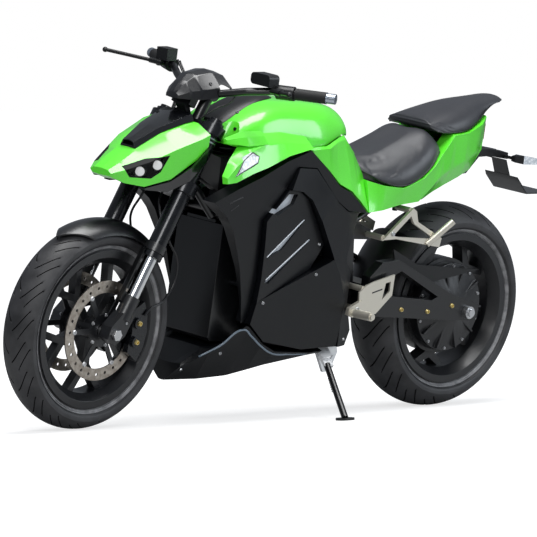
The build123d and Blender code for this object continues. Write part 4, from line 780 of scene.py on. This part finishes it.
moulded("tank_cover", "chassis", green_paint, 6.0, 3)
moulded("tank_console", "chassis", satin_abs, 2.0)
moulded("shrouds", "chassis", green_paint, 2.0)
moulded("knee_covers", "chassis", green_paint, 2.0, crease=40, soft=True)
moulded("side_panels", "chassis", panel_abs, 3.0)
moulded("spar_covers", "chassis", panel_abs, 3.0)
moulded("vent_panels", "chassis", panel_abs, 1.5)
moulded("lower_panels", "chassis", panel_abs, 3.0)
moulded("belly_pan", "chassis", panel_abs, 3.0)

panel_bolts = []
for node, x, z in (("vent_panels", -35, 545), ("lower_panels", -20, 458), ("lower_panels", 186, 380),
                   ("belly_pan", 287, 225), ("belly_pan", 383, 170), ("spar_covers", -195, 252)):
    panel_bolts += beside([node], x, z)
bolts("panel_bolts", "chassis", "steel", plated_steel, panel_bolts, 5.5, 4)

tank_bolts = []
for x, y, z in ((266, 60, 960), (305, 98, 960)):
    for side in (1, -1):
        tank_bolts.append(seat_on(["tank_cover", "tank_console", "shrouds"], on_machine(x, side * y, z),
                                  on_machine(x, side * y, z - 200)))
bolts("tank_bolts", "chassis", "steel", anodised_black, tank_bolts, 6, 4)


def strip_on(name, node_names, slot_name, material, places, radius_mm, sink_mm):
    """A thin strip along both flanks of a piece, through places given from the side and part sunk in it."""
    for side, flank in ((1, "left"), (-1, "right")):
        spots = []
        for x, z in places:
            (spot, facing), = beside(node_names, x, z, (side,))
            spots.append(spot - facing * sink_mm / 1000)
        tube_along(f"{flank}_{name}", "chassis", slot_name, material, spots, radius_mm)


# Floors in the vent slots wear the near-white painted highlight, standing for the light seen in them.
slot_floors = bmesh.new()
floor_share, floor_thickness = 0.97, 0.003
for depth, corners in ((172, ((212, 650), (150, 704), (108, 702), (122, 672), (186, 641))),
                       (168, ((205, 512), (52, 622), (140, 536))),
                       (160, ((192, 443), (12, 560), (176, 436)))):
    centre_x = sum(x for x, _ in corners) / len(corners)
    centre_z = sum(z for _, z in corners) / len(corners)
    for side in (1, -1):
        ring = [slot_floors.verts.new(on_machine(centre_x + (x - centre_x) * floor_share, side * depth,
                                                 centre_z + (z - centre_z) * floor_share))
                for x, z in corners]
        grown = bmesh.ops.extrude_face_region(slot_floors, geom=[slot_floors.faces.new(ring)])["geom"]
        bmesh.ops.translate(slot_floors, vec=-machine_left * side * floor_thickness,
                            verts=[part for part in grown if isinstance(part, bmesh.types.BMVert)])
bmesh.ops.recalc_face_normals(slot_floors, faces=slot_floors.faces)
keep(slot_floors, "vent_slot_floors_painted_light", "chassis", "steel", vent_highlight_paint, smooth=False)
# The blades are strips in the same near-white paint, a painted highlight along their edges.
strip_on("middle_vent_blade", ["vent_panels", "main_frame"], "steel", vent_highlight_paint,
         ((203, 518), (130, 571), (58, 623)), 2.4, 0.6)
strip_on("lower_vent_blade", ["vent_panels", "main_frame"], "steel", vent_highlight_paint,
         ((190, 449), (104, 505), (18, 561)), 2.4, 0.6)
# A blue-grey strip along the belly pan's upper edge, as painted highlight.
strip_on("belly_rail_edge", ["belly_pan"], "steel", rail_highlight_paint,
         ((352, 214), (300, 250), (240, 300), (205, 280), (160, 248), (95, 220), (20, 214), (-60, 210)),
         3.2, 0.8)
# Dark strips sunk in the side panels stand for the wing slits: painted shade where the openings are.
strip_on("upper_wing_slit", ["side_panels"], "satin_black", hose_rubber,
         ((392, 681), (364, 691), (337, 700)), 3.0, 2.2)
strip_on("lower_wing_slit", ["side_panels"], "satin_black", hose_rubber,
         ((381, 660), (365, 668), (350, 676)), 3.0, 2.2)

# ---------------------------------------------------------------- seats
# Foam on a plastic base under a stretched vinyl cover, one cushion for the rider and a raised one behind. The
# raised nose of the second is welded in pleats, and both covers are closed by a piped seam.

# Seat vinyl: dark grey, grained, a little shiny where it is stretched.
seat_vinyl = surface("grained_seat_vinyl", "303135", 0.42, specular=0.55, haze=(70, 3, 0.36, 0.48))


def raise_cells(material, size_mm, depth_mm, strength):
    """Give a finish a relief of small cells, such as grain or prisms, and return their pattern."""
    tree = material.node_tree
    place = add_node(tree, "ShaderNodeTexCoord").outputs["Object"]
    voronoi = add_node(tree, "ShaderNodeTexVoronoi", {"Vector": place}, Scale=1000 / size_mm)
    cells = voronoi.outputs["Distance"]
    bump = add_node(tree, "ShaderNodeBump", {"Height": cells}, Strength=strength, Distance=depth_mm / 1000)
    tree.links.new(bump.outputs[0], tree.nodes["Principled BSDF"].inputs["Normal"])
    return cells


raise_cells(seat_vinyl, 1.6, 0.10, 0.5)


def ease(shape):
    """Even a cover out once."""
    bmesh.ops.smooth_vert(shape, verts=shape.verts, factor=0.5, use_axis_x=True, use_axis_y=True,
                          use_axis_z=True)


def cushion(node, name, tuck_mm, cap_mm, pleat=None):
    """Foam under a stretched cover: the plain solid drawn in, puffed as held cloth, then pleated if it is."""
    blank = bpy.data.objects.new(name, nodes[node].data.copy())
    blank.data.materials.clear()
    scene.collection.objects.link(blank)
    dividing = blank.modifiers.new("even_division", "REMESH")
    dividing.mode = "VOXEL"
    dividing.voxel_size = 0.005
    even = bpy.data.meshes.new_from_object(blank.evaluated_get(bpy.context.evaluated_depsgraph_get()))
    blank.modifiers.clear()
    blank.data = even
    shape = bmesh.new()
    shape.from_mesh(even)
    for vert in shape.verts:
        vert.co -= vert.normal * tuck_mm / 1000
    for _ in range(5):
        ease(shape)
    shape.normal_update()
    base_board = [vert.index for vert in shape.verts if vert.normal.dot(machine_up) < -0.35]
    shape.to_mesh(even)
    shape.free()
    resting = [vert.co.copy() for vert in even.vertices]
    held = blank.vertex_groups.new(name="base_board")
    held.add(base_board, 1.0, "REPLACE")
    cover = blank.modifiers.new("stretched_cover", "CLOTH")
    cover.settings.quality = 5
    cover.settings.mass = 0.3
    cover.settings.tension_stiffness = 20
    cover.settings.compression_stiffness = 20
    cover.settings.shear_stiffness = 8
    cover.settings.bending_stiffness = 2
    cover.settings.vertex_group_mass = "base_board"
    cover.settings.use_pressure = True
    cover.settings.uniform_pressure_force = 4
    cover.settings.effector_weights.gravity = 0
    for frame_number in range(1, 21):
        scene.frame_set(frame_number)
    puffed = bpy.data.meshes.new_from_object(blank.evaluated_get(bpy.context.evaluated_depsgraph_get()))
    blank.modifiers.clear()
    for vert, swollen, before in zip(even.vertices, puffed.vertices, resting):
        move = swollen.co - before
        vert.co = before + move * min(1.0, cap_mm / 1000 / max(move.length, 1e-9))
    bpy.data.meshes.remove(puffed)
    scene.frame_set(1)
    blank.vertex_groups.clear()
    shape = bmesh.new()
    shape.from_mesh(even)
    ease(shape)
    shape.normal_update()
    if pleat:
        pleat(shape)
    for face in shape.faces:
        face.smooth = True
    shape.to_mesh(even)
    shape.free()
    even.materials.append(seat_vinyl)
    soft = blank.modifiers.new("smooth_cover", "SUBSURF")
    soft.levels = soft.render_levels = 1
    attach(blank, "chassis")
    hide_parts(node)
    return blank


def to_machine(point):
    """A place in mm on the upright machine: ahead, left and up."""
    away = (point - rear_axle) * 1000
    return away.x - half_wheelbase, away.dot(machine_left), away.dot(machine_up) + rear_axle_height


def pleat_nose(shape):
    """Press four welded pleats, 3.6 mm deep and as wide, around the raised nose of the cushion."""
    pleat_depth = pleat_width = 3.6
    for vert in shape.verts:
        x, _, z = to_machine(vert.co)
        level = z - (901 + 0.35 * (x + 434))
        fade = max(0.0, min(1.0, (x + 610) / 30))
        depth = 0.0
        for pleat_level in (29, 18, 7, -4):
            depth += pleat_depth * fade * exp(-((level - pleat_level) / pleat_width) ** 2)
        if abs(vert.normal.dot(machine_up)) < 0.8:
            vert.co -= vert.normal * depth / 1000


rider = cushion("rider_seat", "rider_cushion", 3.0, 6.0)
pillion = cushion("pillion_seat", "pillion_cushion", 3.0, 6.0, pleat_nose)


def piping(name, seat, places):
    """A vinyl-covered cord sewn into the cover's lower seam on both sides."""
    skin = BVHTree.FromPolygons([vert.co.copy() for vert in seat.data.vertices],
                                [face.vertices[:] for face in seat.data.polygons])
    for side, flank in ((1, "left"), (-1, "right")):
        spots = [skin.find_nearest(on_machine(x, side * y, z))[0] for x, y, z in places]
        tube_along(f"{flank}_{name}", "chassis", "seat_vinyl", hose_rubber, spots, 2.4)


piping("rider_piping", rider, ((-218, 60, 786), (-218, 90, 758), (-242, 130, 728), (-287, 150, 716),
                               (-368, 155, 709), (-454, 150, 737), (-507, 140, 771), (-552, 120, 806)))
piping("pillion_piping", pillion, ((-533, 110, 851), (-600, 115, 860), (-670, 110, 867), (-731, 90, 891),
                                   (-809, 60, 928), (-887, 30, 947)))

# ---------------------------------------------------------------- tail, lamp, indicators and plate bracket
# Green moulded tail over a black undertray, a red tail lamp, indicators on rubber stems, and a bent steel
# plate bracket.

# Red lens: dyed acrylic, glossy.
red_lens = surface("red_acrylic_lens", "8A0B0E", 0.10, coat=1.0, coat_roughness=0.02)
raise_cells(red_lens, 6, 0.6, 0.4)

# Indicator lens: clear acrylic with a moulded prism pattern over a silvered bowl.
prism_lens = surface("prismatic_clear_lens", "DDE3E8", 0.12, coat=1.0, coat_roughness=0.03)
prisms = raise_cells(prism_lens, 9, 0.8, 0.5)
tree = prism_lens.node_tree
ramp = add_node(tree, "ShaderNodeValToRGB", {"Fac": prisms})
for stop, position, shade in zip(ramp.color_ramp.elements, (0.1, 0.9), ("F4F7FA", "AEB6BE")):
    stop.position, stop.color = position, linear(shade)
tree.links.new(ramp.outputs[0], tree.nodes["Principled BSDF"].inputs["Base Color"])

moulded("tail_cover", "chassis", green_paint, 3.0, crease=40, soft=True)
moulded("under_tail", "chassis", satin_abs, 2.0)
moulded("plate_holder", "chassis", coated_steel, 1.0)
moulded("tail_lamp", "chassis", red_lens, 1.5)


def rim_front_lenses(shape):
    """A dark rim around each front lens."""
    shape.normal_update()
    for side in (1, -1):
        shown = [face for face in shape.faces if face.normal.dot(machine_left * side) > 0.55
                 and to_machine(face.calc_center_median())[0] > 200]
        for face in bmesh.ops.inset_region(shape, faces=shown, thickness=0.0035)["faces"]:
            face.material_index = 1


def is_stem(point):
    """Whether a place is on a rear indicator's black stem."""
    x, y, _ = to_machine(point)
    return x < -700 and (x > -931 or abs(y) < 76)


moulded("indicators", "chassis", prism_lens, 1.0, second=satin_abs, is_second=is_stem,
        reshape=rim_front_lenses)
